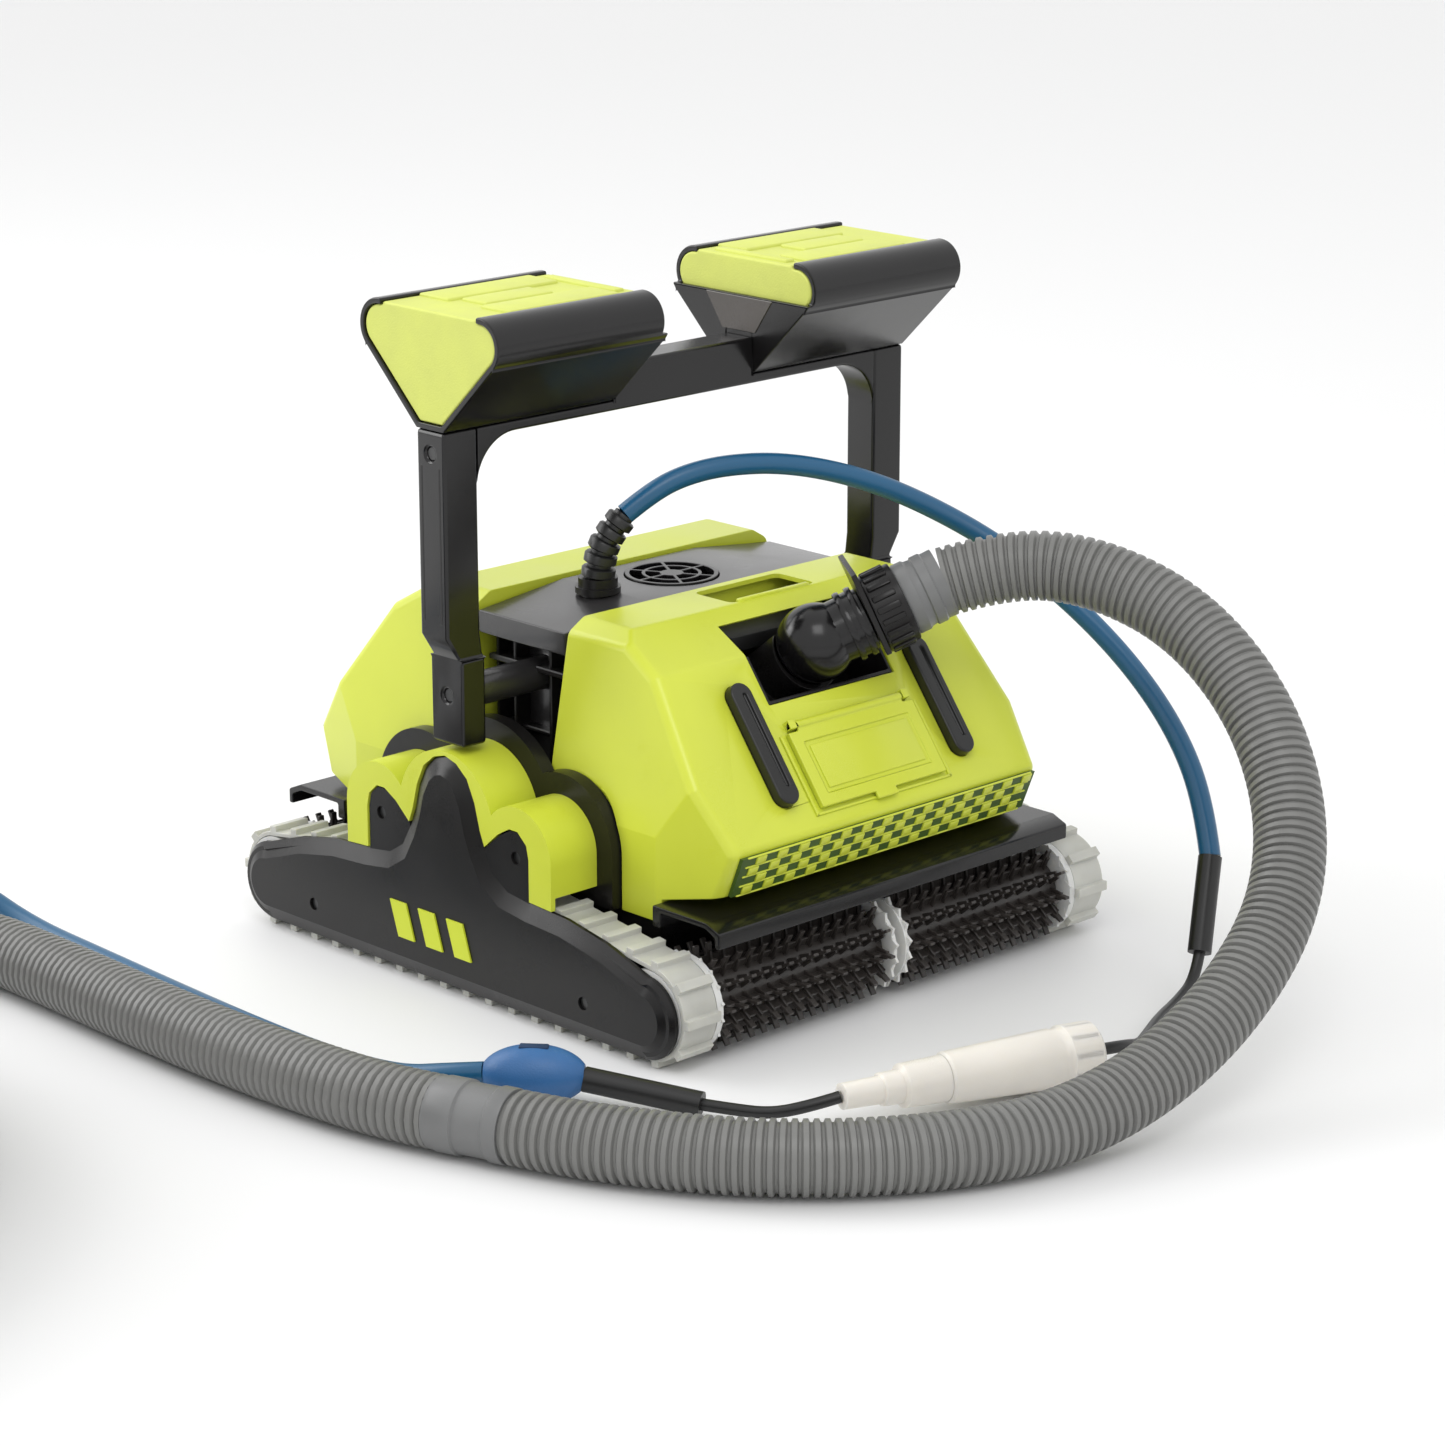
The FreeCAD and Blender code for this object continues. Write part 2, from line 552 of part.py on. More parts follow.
# ---- Covers ----------------------------------------------------------------------------------
def cover_block(inset):
    """Front cover's outer form, or its hollow when inset by the wall."""
    top_y = FACE_Y + FACE_LEN * math.cos(FACE_ANGLE)
    top_z = FACE_Z + FACE_LEN * math.sin(FACE_ANGLE)
    i = inset
    side = [(-RECESS_Y - i, TRAY_TOP - 1), (-TRAY_Y - 4 + i, TRAY_TOP - 1), (-TRAY_Y - 4 + i, SKIRT_Z),
            (FACE_Y + 12 + i, SKIRT_Z + 8), (FACE_Y + 1.25 * i, FACE_Z - 0.2 * i),
            (top_y + 1.1 * i, top_z - 0.5 * i), (-90, COVER_TOP - i), (-RECESS_Y - i, COVER_TOP - i)]
    block = prism_x(side, -COVER_BASE_X, COVER_BASE_X)
    ends = [(-COVER_BASE_X + i, 0), (-COVER_BASE_X + i, 130), (-COVER_TOP_X + i, COVER_TOP - 8),
            (-COVER_TOP_X + 22 + i, COVER_TOP + 5), (COVER_TOP_X - 22 - i, COVER_TOP + 5),
            (COVER_TOP_X - i, COVER_TOP - 8), (COVER_BASE_X - i, 130), (COVER_BASE_X - i, 0)]
    block = block.common(prism_y(ends, -260, 0))
    base_x = COVER_BASE_X - i
    plan = [(-base_x, 0), (-base_x, -TRAY_Y), (-137 + i, FACE_Y - 5), (137 - i, FACE_Y - 5), (base_x, -TRAY_Y),
            (base_x, 0)]
    return block.common(prism_z(plan, 0, 400))


def rounded_block():
    """Front cover's outer form with its edges rounded, the recess and the skirt left sharp."""
    block = cover_block(0)
    edges = []
    for edge in block.Edges:
        at_recess = all(abs(v.Y + RECESS_Y) < 1e-3 for v in edge.Vertexes)
        at_skirt = all(v.Z < SKIRT_Z + 9 for v in edge.Vertexes)
        if not at_recess and not at_skirt:
            edges.append(edge)
    return block.makeFillet(COVER_EDGE_R, edges)


HATCH_X = 56.5
HATCH_S0 = 14.0
HATCH_S1 = 67.0
HATCH_HINGE_S = 70.0
HATCH_HINGE_N = 3.4
PAD_X = 80.5
PAD_R = 8.5
PAD_S0 = 21.0
PAD_S1 = 106.0


def plain_cover():
    """Cover shell without the openings of the hose side."""
    shell = rounded_block().cut(cover_block(COVER_WALL))
    # the hollow is open below, and towards the centre housing
    open_below = cover_block(COVER_WALL).common(box(-200, 200, -260, 0, 60, 100))
    open_below.translate(V(0, 0, -12))
    shell = shell.cut(open_below)
    shell = shell.cut(box(-FRAME_IN, FRAME_IN, -TRAY_Y, TRAY_Y, 60, TRAY_TOP))
    behind = box(-HOUSE_X - 1, HOUSE_X + 1, -RECESS_Y - 4, -RECESS_Y + 1, TRAY_TOP - 2, CAP_Z)
    shell = shell.cut(behind)
    for side in (-1, 1):
        x0, x1 = sorted((side * (FRAME_IN - 1), side * (FRAME_OUT + 1)))
        shell = shell.cut(lobes(x0, x1, FRAME_LIP + 1, TRAY_TOP - 2))
        seat = slot_bar(side * PAD_X, PAD_S0 - 0.3, PAD_S1 + 0.3, -1.5, 20, PAD_R + 0.3)
        shell = shell.cut(on_face(seat))
    return shell


def hinge_rod(reach, radius):
    """Rod on the hatch's hinge axis, the same distance to each side."""
    return on_face(rod((-reach, HATCH_HINGE_S, HATCH_HINGE_N), (reach, HATCH_HINGE_S, HATCH_HINGE_N), radius))


def front_cover():
    """Lime cover with the hose pocket, the hatch opening and the pad seats."""
    cover = plain_cover()
    pocket = box(-POCKET_X, POCKET_X, POCKET_S, FACE_LEN + 26, -POCKET_DEPTH - 6, 30)
    cover = cover.cut(on_face(pocket))
    window = box(-HATCH_X + 8, HATCH_X - 8, HATCH_S0 + 8, HATCH_S1 - 8, -20, 20)
    cover = cover.cut(on_face(window))
    lugs = []
    for x in (-HATCH_X + 2, HATCH_X - 8):
        lug = box(x, x + 6, HATCH_HINGE_S - 2.4, HATCH_HINGE_S + 4, -1, HATCH_HINGE_N + 2.6)
        lugs.append(on_face(lug))
    cover = fuse([cover] + lugs)
    return cover.cut(hinge_rod(HATCH_X - 2, FLAP_PIN_R))


def rear_cover():
    """Lime cover at the back, the plain moulding mirrored."""
    return mirrored(plain_cover(), "y")


def hatch():
    """Hatch lid with a raised border, a finger tab and its hinge barrel."""
    lid = box(-HATCH_X, HATCH_X, HATCH_S0, HATCH_S1 - 1, 0.4, 4.4)
    lid = lid.cut(box(-HATCH_X + 9, HATCH_X - 9, HATCH_S0 + 8, HATCH_S1 - 9, 3.2, 5))
    tab = box(-9, 9, HATCH_S0 - 5, HATCH_S0 + 1, 1.6, 4.4)
    web = box(-HATCH_X + 9, HATCH_X - 9, HATCH_S1 - 2, HATCH_HINGE_S, 1.6, 4.4)
    lid = fuse([on_face(lid), on_face(tab), on_face(web), hinge_rod(HATCH_X - 9, 2.8)])
    return lid.cut(hinge_rod(HATCH_X, FLAP_PIN_R + RUN_FIT))


def hinge_pins():
    """Pins of the hatch and of both suction flaps."""
    pins = [hinge_rod(HATCH_X - 2, FLAP_PIN_R)]
    for side in (-1, 1):
        y = side * (FLAP_HINGE_Y + 3)
        pins.append(rod((-INLET_X - 8, y, FLOOR_Z + 3.6), (INLET_X + 8, y, FLOOR_Z + 3.6), FLAP_PIN_R))
    return group(pins)


def bumper_pads():
    """Two grooved rubber pads on each sloping cover face."""
    pads = []
    for x in (-PAD_X, PAD_X):
        pad = slot_bar(x, PAD_S0, PAD_S1, -1.5, 7, PAD_R)
        pad = pad.cut(slot_bar(x + 2, PAD_S0 + 12, PAD_S1 - 8, 5, 9, 1.2))
        pads.append(on_face(pad))
    return group(pads + [mirrored(p, "y") for p in pads])


def grille_strips():
    """Perforated strips below the sloping faces."""
    outline = [(FACE_Y + 13, SKIRT_Z + 9), (FACE_Y + 1, FACE_Z - 2), (FACE_Y - 2, FACE_Z - 2),
               (FACE_Y + 9, SKIRT_Z + 8)]
    strip = prism_x(outline, -134, 134)
    strip = strip.cut(rounded_block())
    return group([strip, mirrored(strip, "y")])


def brush_guards():
    """Hoods over the brushes, front and rear."""
    reach = AXLE_Y + 27
    back = -TRAY_Y - 4.5
    outline = [(back, TRAY_TOP - 1), (back, SKIRT_Z - 1), (-reach + 12, SKIRT_Z - 1), (-reach, SKIRT_Z - 6),
               (-reach, SKIRT_Z - 16), (-reach + 4, SKIRT_Z - 16), (-reach + 4, SKIRT_Z - 9),
               (-reach + 13, SKIRT_Z - 5), (back - 7.5, SKIRT_Z - 5), (back - 7.5, TRAY_TOP - 1)]
    guard = prism_x(outline, -FLANGE_IN, FLANGE_IN)
    return group([guard, mirrored(guard, "y")])


# ---- Centre housing, pump and drives ---------------------------------------------------------
GRILLE_R = 31.0
IMPELLER_R = 27.0
MOTOR_R = 23.0
PUMP_SHAFT_R = 3.0


def centre_housing():
    """Black middle casing: hollow body, overhanging cap and the handle bosses."""
    body = box(-HOUSE_X, HOUSE_X, -HOUSE_Y, HOUSE_Y, HOUSE_Z, CAP_Z)
    cap_x = COVER_TOP_X
    cap = prism_y([(-cap_x, CAP_Z), (-cap_x, CAP_Z + 15), (-60, COVER_TOP - 2), (60, COVER_TOP - 2),
                   (cap_x, CAP_Z + 15), (cap_x, CAP_Z)], -HOUSE_Y, HOUSE_Y)
    bosses = [rod((s * HOUSE_X, 0, PIVOT_Z), (s * FOOT_IN, 0, PIVOT_Z), 11) for s in (-1, 1)]
    housing = fuse([body, cap] + bosses)
    inner = box(-HOUSE_X + WALL, HOUSE_X - WALL, -HOUSE_Y + WALL, HOUSE_Y - WALL, HOUSE_Z - 1, CAP_Z)
    housing = housing.cut(inner)
    housing = housing.cut(rod((0, 0, CAP_Z - 1), (0, 0, COVER_TOP + 1), GRILLE_R + 0.5))
    housing = housing.cut(rod((GLAND_X, 0, CAP_Z - 1), (GLAND_X, 0, COVER_TOP + 1), GLAND_R - 3))
    for side in (-1, 1):
        x0, x1 = side * (FOOT_IN - 12), side * (FOOT_IN + 1)
        housing = housing.cut(rod((x0, 0, PIVOT_Z), (x1, 0, PIVOT_Z), 2.0))
    return housing


def outlet_grille():
    """Round outlet grille: a rim, a hub and two rings joined by spokes."""
    top = COVER_TOP - 1
    parts = [ring((0, 0, top - 6), (0, 0, top), GRILLE_R, GRILLE_R - 3)]
    parts.append(ring((0, 0, top - 4), (0, 0, top), 20, 17.5))
    parts.append(rod((0, 0, top - 5), (0, 0, top), 8))
    for index in range(6):
        spoke = box(5, GRILLE_R - 1, -1.2, 1.2, top - 4, top)
        spoke.rotate(V(0, 0, 0), V(0, 0, 1), 60 * index)
        parts.append(spoke)
    return fuse(parts)


def pump_motor():
    """Sealed pump motor with its mounting plate and shaft."""
    can = rod((0, 0, HOUSE_Z + 8), (0, 0, CAP_Z - 30), 32)
    plate = box(-60, 60, -HOUSE_Y + WALL, HOUSE_Y - WALL, HOUSE_Z + 2, HOUSE_Z + 8)
    shaft = rod((0, 0, CAP_Z - 30), (0, 0, CAP_Z - 14), PUMP_SHAFT_R)
    return fuse([can, plate, shaft])


def impeller():
    """Axial impeller on its own shaft above the pump motor."""
    low, high = CAP_Z - 26, CAP_Z + 2
    blades = [rod((0, 0, low), (0, 0, high), 8)]
    for index in range(3):
        blade = box(4, IMPELLER_R, -1.5, 1.5, -10, 10)
        blade.rotate(V(0, 0, 0), V(1, 0, 0), 35)
        blade.translate(V(0, 0, (low + high) / 2 + 2))
        blade.rotate(V(0, 0, 0), V(0, 0, 1), 120 * index)
        blades.append(blade)
    return fuse(blades).cut(rod((0, 0, low - 1), (0, 0, CAP_Z - 13.5), PUMP_SHAFT_R + RUN_FIT))


def drive_motor():
    """Left gearmotor with a bore for the drive pulley's shaft."""
    can = rod((-FRAME_IN + 1, 0, PULLEY_Z), (-55, 0, PULLEY_Z), MOTOR_R)
    foot = box(-120, -70, -MOTOR_R, MOTOR_R, FLOOR_Z + WALL, PULLEY_Z - 10)
    motor = fuse([can, foot])
    return motor.cut(rod((-FRAME_IN, 0, PULLEY_Z), (-FRAME_IN + 31, 0, PULLEY_Z), SHAFT_R + RUN_FIT))


# ---- Cable gland -----------------------------------------------------------------------------
GLAND_X = -66.0
GLAND_R = 15.0
RELIEF = [(GLAND_X, 0, COVER_TOP + 8), (GLAND_X + 1, -1, COVER_TOP + 22), (GLAND_X + 5, -5, COVER_TOP + 36),
          (GLAND_X + 14, -11, COVER_TOP + 49)]
RELIEF_R = (10.5, 9.8, 9.0)


def cable_gland():
    base = rod((GLAND_X, 0, COVER_TOP - 2), (GLAND_X, 0, COVER_TOP + 2), GLAND_R)
    nut = rod((GLAND_X, 0, COVER_TOP + 2), (GLAND_X, 0, COVER_TOP + 8), GLAND_R - 2)
    stem = rod((GLAND_X, 0, CAP_Z - 6), (GLAND_X, 0, COVER_TOP - 2), GLAND_R - 3.2)
    return fuse([base, nut, stem])


def strain_relief():
    """Bend relief in three leaning sections, wide at the gland and narrow at the cable."""
    parts = []
    for start, end, radius in zip(RELIEF, RELIEF[1:], RELIEF_R):
        parts.append(rod(start, end, radius))
        parts.append(Part.makeSphere(radius, V(*start)))
    return fuse(parts).common(box(-200, 200, -200, 200, RELIEF[0][2], 400))


# ---- Hose fitting ----------------------------------------------------------------------------
def along_elbow(distance):
    return face_point(BALL_X, BALL_S, 0) + V(ELBOW_DIR).normalize() * distance


def elbow_rod(start, end, radius):
    a, b = along_elbow(start), along_elbow(end)
    return Part.makeCylinder(radius, a.distanceToPoint(b), a, b - a)


def hose_socket():
    """Black pocket behind the cover's opening, with the ball's seat and a spigot for the duct."""
    outer = box(-POCKET_X + 0.4, POCKET_X - 0.4, POCKET_S + 0.4, FACE_LEN - 1, -POCKET_DEPTH, -1)
    inner = box(-POCKET_X + 3, POCKET_X - 3, POCKET_S + 3, FACE_LEN + 5, -POCKET_DEPTH + 8, 2)
    seat = rod((BALL_X, BALL_S - 2, -POCKET_DEPTH + 2), (BALL_X, BALL_S - 2, -14), BALL_R - 1)
    seat = seat.common(box(-POCKET_X, POCKET_X, POCKET_S, FACE_LEN + 12, -60, 0))
    spigot = rod((BALL_X, BALL_S - 5, -POCKET_DEPTH - 8), (BALL_X, BALL_S - 5, -POCKET_DEPTH + 2), 20)
    socket = on_face(fuse([outer.cut(inner), seat, spigot]))
    socket = socket.cut(Part.makeSphere(BALL_R + 0.3, along_elbow(0)))
    bore = rod((BALL_X, BALL_S - 5, -POCKET_DEPTH - 10), (BALL_X, BALL_S - 5, -10), 16)
    return socket.cut(on_face(bore))


def hose_elbow():
    """Hollow ball and neck, with a groove for the lock plate."""
    ball = Part.makeSphere(BALL_R, along_elbow(0))
    neck = elbow_rod(0, LOCK_AT - 0.4, ELBOW_R)
    spigot = elbow_rod(LOCK_AT - 2, LOCK_AT + LOCK + 0.4, ELBOW_R - 3)
    body = fuse([ball, neck, spigot])
    body = body.cut(elbow_rod(-4, LOCK_AT + LOCK + 5, ELBOW_BORE - 3))
    mouth = rod((BALL_X, BALL_S - 5, -60), (BALL_X, BALL_S - 2, 0), 14)
    return body.cut(on_face(mouth))


def elbow_frame(shape):
    """Move a shape from a frame with +Z along the elbow and +Y nearly up to its place at the ball."""
    rotation = FreeCAD.Rotation(V(0, 0, 0), V(LOCK_UP), V(ELBOW_DIR), "ZYX")
    placed = shape.copy()
    placed.Placement = FreeCAD.Placement(along_elbow(0), rotation).multiply(placed.Placement)
    return placed


LOCK_UP = V(ELBOW_DIR).cross(V(0, 0, 1)).cross(V(ELBOW_DIR)).normalize()


def lock_plate():
    """Flat fork that slides over the neck's groove and locks the collar."""
    z0, z1 = LOCK_AT, LOCK_AT + LOCK
    plate = box(-27, 27, -20, 38, z0, z1)
    slot = box(-ELBOW_R + 2.4, ELBOW_R - 2.4, -21, 0, z0 - 1, z1 + 1)
    bore = rod((0, 0, z0 - 1), (0, 0, z1 + 1), ELBOW_R - 2.4)
    return elbow_frame(plate.cut(slot).cut(bore))


def hose_collar():
    """Knurled union nut between the elbow and the hose's first cuff."""
    start = LOCK_AT + LOCK + 0.4
    nut = elbow_rod(start, start + COLLAR_LEN, COLLAR_R)
    return nut.cut(elbow_rod(start - 1, start + COLLAR_LEN + 1, ELBOW_BORE))


def hose_cuffs():
    """Grey cuffs: at the collar, between the first two lengths of hose, and at the far end on the coil."""
    start = LOCK_AT + LOCK + 0.4 + COLLAR_LEN
    first = elbow_rod(start, start + CUFF_LEN, CUFF_R)
    first = first.cut(elbow_rod(start - 1, start + CUFF_LEN + 1, HOSE_BORE))
    middle = ring(HOSE_FIRST[-1], HOSE_SECOND[0], HOSE_R, HOSE_BORE)
    z = HOSE_TURNS_HIGH * 2 * HOSE_R + CUFF_R
    y = HOSE_COIL.y + HOSE_COIL_R + 18
    last = ring((HOSE_COIL.x - 40, y, z), (HOSE_COIL.x + 40, y, z), CUFF_R, HOSE_BORE)
    return group([first, middle, last])


def suction_duct():
    """Duct from the inlets' chamber up to the hose socket."""
    top = face_point(BALL_X, BALL_S - 5, -POCKET_DEPTH - 8)
    bend = face_point(BALL_X, BALL_S - 5, -POCKET_DEPTH - 34)
    foot = V(BALL_X, bend.y, FLOOR_Z + 34)
    return tube([tuple(top), tuple(bend), tuple(foot)], 20.0, "suction_duct", 17.0)


# ---- Handle ----------------------------------------------------------------------------------
def handle_post():
    """Left post, with a narrower foot on the boss."""
    upper = box(-HANDLE_X, -POST_IN, -POST_Y, POST_Y, POST_JOG_Z, FLOAT_Z - 0.2)
    foot = box(-FOOT_OUT, -FOOT_IN, -FOOT_Y, FOOT_Y, POST_BASE_Z, POST_JOG_Z - 16)
    jog = prism_y([(-FOOT_OUT, POST_JOG_Z - 16), (-HANDLE_X, POST_JOG_Z), (-POST_IN, POST_JOG_Z),
                   (-FOOT_IN, POST_JOG_Z - 16)], -POST_Y, POST_Y)
    post = fuse([upper, foot, jog])
    return post.cut(screw_hole(-FOOT_OUT, 0, PIVOT_Z)).cut(screw_hole(-HANDLE_X, 0, UPPER_SCREW_Z))


def float_outline(inset):
    """V-section with round shoulders, as solids to be joined."""
    lean = inset * 0.72
    half = [(13 - 0.55 * inset, FLOAT_Z + inset), (61 - lean, 419.5 + lean),
            (SHOULDER_Y, SHOULDER_Z + SHOULDER_R - inset)]
    return both_ways(half), SHOULDER_R - inset


def float_solid(x0, x1, inset):
    outline, radius = float_outline(inset)
    parts = [prism_x(outline, x0, x1)]
    parts += [rod((x0, y, SHOULDER_Z), (x1, y, SHOULDER_Z), radius) for y in (-SHOULDER_Y, SHOULDER_Y)]
    return fuse(parts)


def float_shell():
    """Left float housing, open at the top and at its outer end."""
    shell = float_solid(-HANDLE_X, -FLOAT_IN, 0).cut(float_solid(-HANDLE_X - 1, -FLOAT_IN - 4, SHELL_WALL))
    lip = SHOULDER_Y - 3
    shell = shell.cut(box(-HANDLE_X - 1, -FLOAT_IN - 4, -lip, lip, SHOULDER_Z, 500))
    return shell.cut(box(-FLOAT_IN - 5, -FLOAT_IN + 1, -100, 100, SHOULDER_Z - 8, 500))


def float_block():
    """Lime foam float that fills the left housing."""
    block = float_solid(-HANDLE_X + 1.2, -FLOAT_IN - 4.3, SHELL_WALL + 0.3)
    lip = SHOULDER_Y - 3.4
    block = block.fuse(box(-HANDLE_X + 1.2, -FLOAT_IN - 4.3, -lip, lip, SHOULDER_Z, BLOCK_TOP))
    return block.common(box(-300, 0, -100, 100, 300, BLOCK_TOP)).removeSplitter()


def crossbar():
    """Bar between the float housings, with a rail under them and a fillet at each post."""
    beam = box(-FLOAT_IN + 0.3, FLOAT_IN - 0.3, -POST_Y, POST_Y, BAR_Z, BAR_TOP)
    rail = box(-POST_IN, POST_IN, -POST_Y, POST_Y, BAR_Z, FLOAT_Z - 0.2)
    parts = [beam, rail]
    fillet = 32.0
    low = BAR_Z - fillet
    for side in (-1, 1):
        x0, x1 = sorted((side * POST_IN, side * (POST_IN - fillet)))
        corner = box(x0, x1, -POST_Y, POST_Y, low, BAR_Z)
        centre = side * (POST_IN - fillet)
        parts.append(corner.cut(rod((centre, -POST_Y - 1, low), (centre, POST_Y + 1, low), fillet)))
    bar = fuse(parts)
    lengthwise = [e for e in bar.Edges if e.BoundBox.YLength < 1e-3 and e.BoundBox.XLength > 20]
    return bar.makeFillet(BAR_EDGE_R, lengthwise)


# ---- Cords -----------------------------------------------------------------------------------
def hose_tube():
    start = along_elbow(LOCK_AT + LOCK + 0.4 + COLLAR_LEN + CUFF_LEN)
    first = tube([tuple(start)] + HOSE_FIRST, HOSE_R, "hose_first", HOSE_BORE)
    second = tube(HOSE_SECOND, HOSE_R, "hose_second", HOSE_BORE)
    return group([first, second])


def coil(centre, mean_r, thickness, wide, high):
    """Outer shape of a neat round coil."""
    half = wide * thickness / 2
    top = centre + V(0, 0, high * thickness)
    return ring(tuple(centre), tuple(top), mean_r + half, mean_r - half)


def cable_tube():
    return group([tube(CABLE_RISE, CABLE_R, "cable_rise"), tube(CABLE_TAIL, CABLE_R, "cable_tail")])


def cable_leads():
    return group([tube(LEAD_FIRST, LEAD_R, "lead_first"), tube(LEAD_SECOND, LEAD_R, "lead_second")])


def cable_sleeves():
    return group([rod(*SLEEVE_DROP, SLEEVE_R), rod(*SLEEVE_FLOOR, SLEEVE_R)])


def cable_swivel():
    """White inline swivel: a body that tapers to a neck."""
    a, b, c = (V(*p) for p in SWIVEL)
    axis = (c - a).normalize()
    length = a.distanceToPoint(b)
    head = Part.makeCylinder(19.5, 34, a, axis)
    taper = Part.makeCone(19.0, 16.0, length - 34, a + axis * 34, axis)
    neck = Part.makeCylinder(10.0, b.distanceToPoint(c), b, axis)
    return fuse([head, taper, neck])


def cable_float():
    a, b = (V(*p) for p in FLOAT_BALL)
    axis = (b - a).normalize()
    half = a.distanceToPoint(b) / 2
    middle = (a + b) * 0.5
    ball = Part.makeSphere(18.5, V(0, 0, 0))
    stretch = FreeCAD.Matrix()
    stretch.scale(1, 1, 1.08 * half / 18.5)
    ball = ball.transformGeometry(stretch)
    ball = ball.common(rod((0, 0, -half), (0, 0, half), 40))
    ball.Placement = FreeCAD.Placement(middle, FreeCAD.Rotation(V(0, 0, 1), axis))
    return ball


def cable_plug():
    """Power supply connector lying on the cable's coil."""
    x, y = CABLE_COIL.x, CABLE_COIL.y + CABLE_COIL_R
    z = CABLE_COIL.z + CABLE_TURNS_HIGH * 2 * CABLE_R + 14.5
    body = rod((x - 16, y, z), (x + 34, y, z), 14.5)
    nut = rod((x - 34, y, z), (x - 16, y, z), 12.5)
    tail = rod((x + 34, y, z), (x + 52, y, z), 9.0)
    return fuse([body, nut, tail])


# ---- Assembly --------------------------------------------------------------------------------
def pieces():
    left = {"side_plate": side_plate(), "side_arch": side_arch(), "track": track(),
            "drive_pulley": pulley(),
            "handle_post": handle_post(), "float_housing": float_shell()}
    nodes = {}
    for name, shape in left.items():
        nodes[name + "_left"] = shape
        nodes[name + "_right"] = mirrored(shape, "x")
    core, bristles = roller_core(), brush()
    for name, shape in (("roller_core", core), ("brush", bristles)):
        nodes[name + "_front_left"] = shape
        nodes[name + "_front_right"] = mirrored(shape, "x")
        nodes[name + "_rear_left"] = mirrored(shape, "y")
        nodes[name + "_rear_right"] = mirrored(mirrored(shape, "x"), "y")
    pairs = {"side_frames": side_frame(), "drive_motors": drive_motor(), "float_blocks": float_block()}
    for name, shape in pairs.items():
        nodes[name] = group([shape, mirrored(shape, "x")])
    flap = inlet_flap()
    nodes.update({
        "side_badges": side_badges(), "screws": screws(), "axle_pins": axle_pins(),
        "roller_brackets": roller_brackets(),
        "base_tray": base_tray(), "bottom_plate": bottom_plate(), "inlet_flap_front": flap,
        "inlet_flap_rear": mirrored(flap, "y"), "front_cover": front_cover(), "rear_cover": rear_cover(),
        "hatch": hatch(), "hinge_pins": hinge_pins(), "bumper_pads": bumper_pads(), "grille_strips": grille_strips(),
        "brush_guards": brush_guards(), "centre_housing": centre_housing(), "outlet_grille": outlet_grille(),
        "pump_motor": pump_motor(), "impeller": impeller(), "cable_gland": cable_gland(),
        "strain_relief": strain_relief(), "hose_socket": hose_socket(), "hose_elbow": hose_elbow(),
        "lock_plate": lock_plate(), "hose_collar": hose_collar(), "suction_duct": suction_duct(),
        "crossbar": crossbar(), "hose_cuffs": hose_cuffs(), "hose_tube": hose_tube(),
        "hose_coil": coil(HOSE_COIL, HOSE_COIL_R, 2 * HOSE_R, HOSE_TURNS_WIDE, HOSE_TURNS_HIGH),
        "cable_tube": cable_tube(), "cable_leads": cable_leads(),
        "cable_sleeves": cable_sleeves(), "cable_swivel": cable_swivel(), "cable_float": cable_float(),
        "cable_coil": coil(CABLE_COIL, CABLE_COIL_R, 2 * CABLE_R, CABLE_TURNS_WIDE, CABLE_TURNS_HIGH),
        "cable_plug": cable_plug()})
    return nodes


def main():
    os.makedirs("parts", exist_ok=True)
    nodes = pieces()
    for name, shape in nodes.items():
        if not shape.isValid() or not shape.Solids:
            print("CHECK", name, "valid", shape.isValid(), "solids", len(shape.Solids))
        shape.exportStep(os.path.join("parts", name + ".step"))
    print(len(nodes), "nodes")


main()
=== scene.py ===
"""Looks of a tracked pool-cleaning robot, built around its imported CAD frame.

Metres, +Z up, the hose side and the hatch face -Y. Every class dresses one sub-assembly: it keeps its sizes as
fields, models what the CAD leaves plain, and gives each CAD node that stays a finish.
"""
from __future__ import annotations

import json
import logging
import math
from dataclasses import dataclass, field
from enum import Enum

import bmesh
import bpy
import numpy as np
from mathutils import Matrix, Quaternion, Vector

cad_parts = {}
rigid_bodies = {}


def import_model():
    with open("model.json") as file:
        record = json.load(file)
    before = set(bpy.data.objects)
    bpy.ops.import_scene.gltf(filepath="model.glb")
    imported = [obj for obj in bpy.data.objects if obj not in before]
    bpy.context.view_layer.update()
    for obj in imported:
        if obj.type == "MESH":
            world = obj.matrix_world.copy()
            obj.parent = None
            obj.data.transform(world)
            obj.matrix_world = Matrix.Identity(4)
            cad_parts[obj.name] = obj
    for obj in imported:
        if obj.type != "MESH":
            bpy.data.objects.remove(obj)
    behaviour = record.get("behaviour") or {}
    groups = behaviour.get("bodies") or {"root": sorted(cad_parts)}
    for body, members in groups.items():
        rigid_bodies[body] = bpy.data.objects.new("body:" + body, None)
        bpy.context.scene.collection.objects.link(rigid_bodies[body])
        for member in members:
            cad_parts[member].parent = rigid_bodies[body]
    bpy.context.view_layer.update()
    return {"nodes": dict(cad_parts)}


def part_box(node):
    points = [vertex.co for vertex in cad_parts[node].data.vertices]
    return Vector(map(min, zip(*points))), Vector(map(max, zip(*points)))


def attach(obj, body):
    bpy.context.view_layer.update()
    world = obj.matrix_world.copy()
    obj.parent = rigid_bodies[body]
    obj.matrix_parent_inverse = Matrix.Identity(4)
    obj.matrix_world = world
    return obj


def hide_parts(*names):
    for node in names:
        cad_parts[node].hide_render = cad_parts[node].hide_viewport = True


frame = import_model()

LOG = logging.getLogger("pool_cleaner")
MM = 0.001
ROOT = "robot"


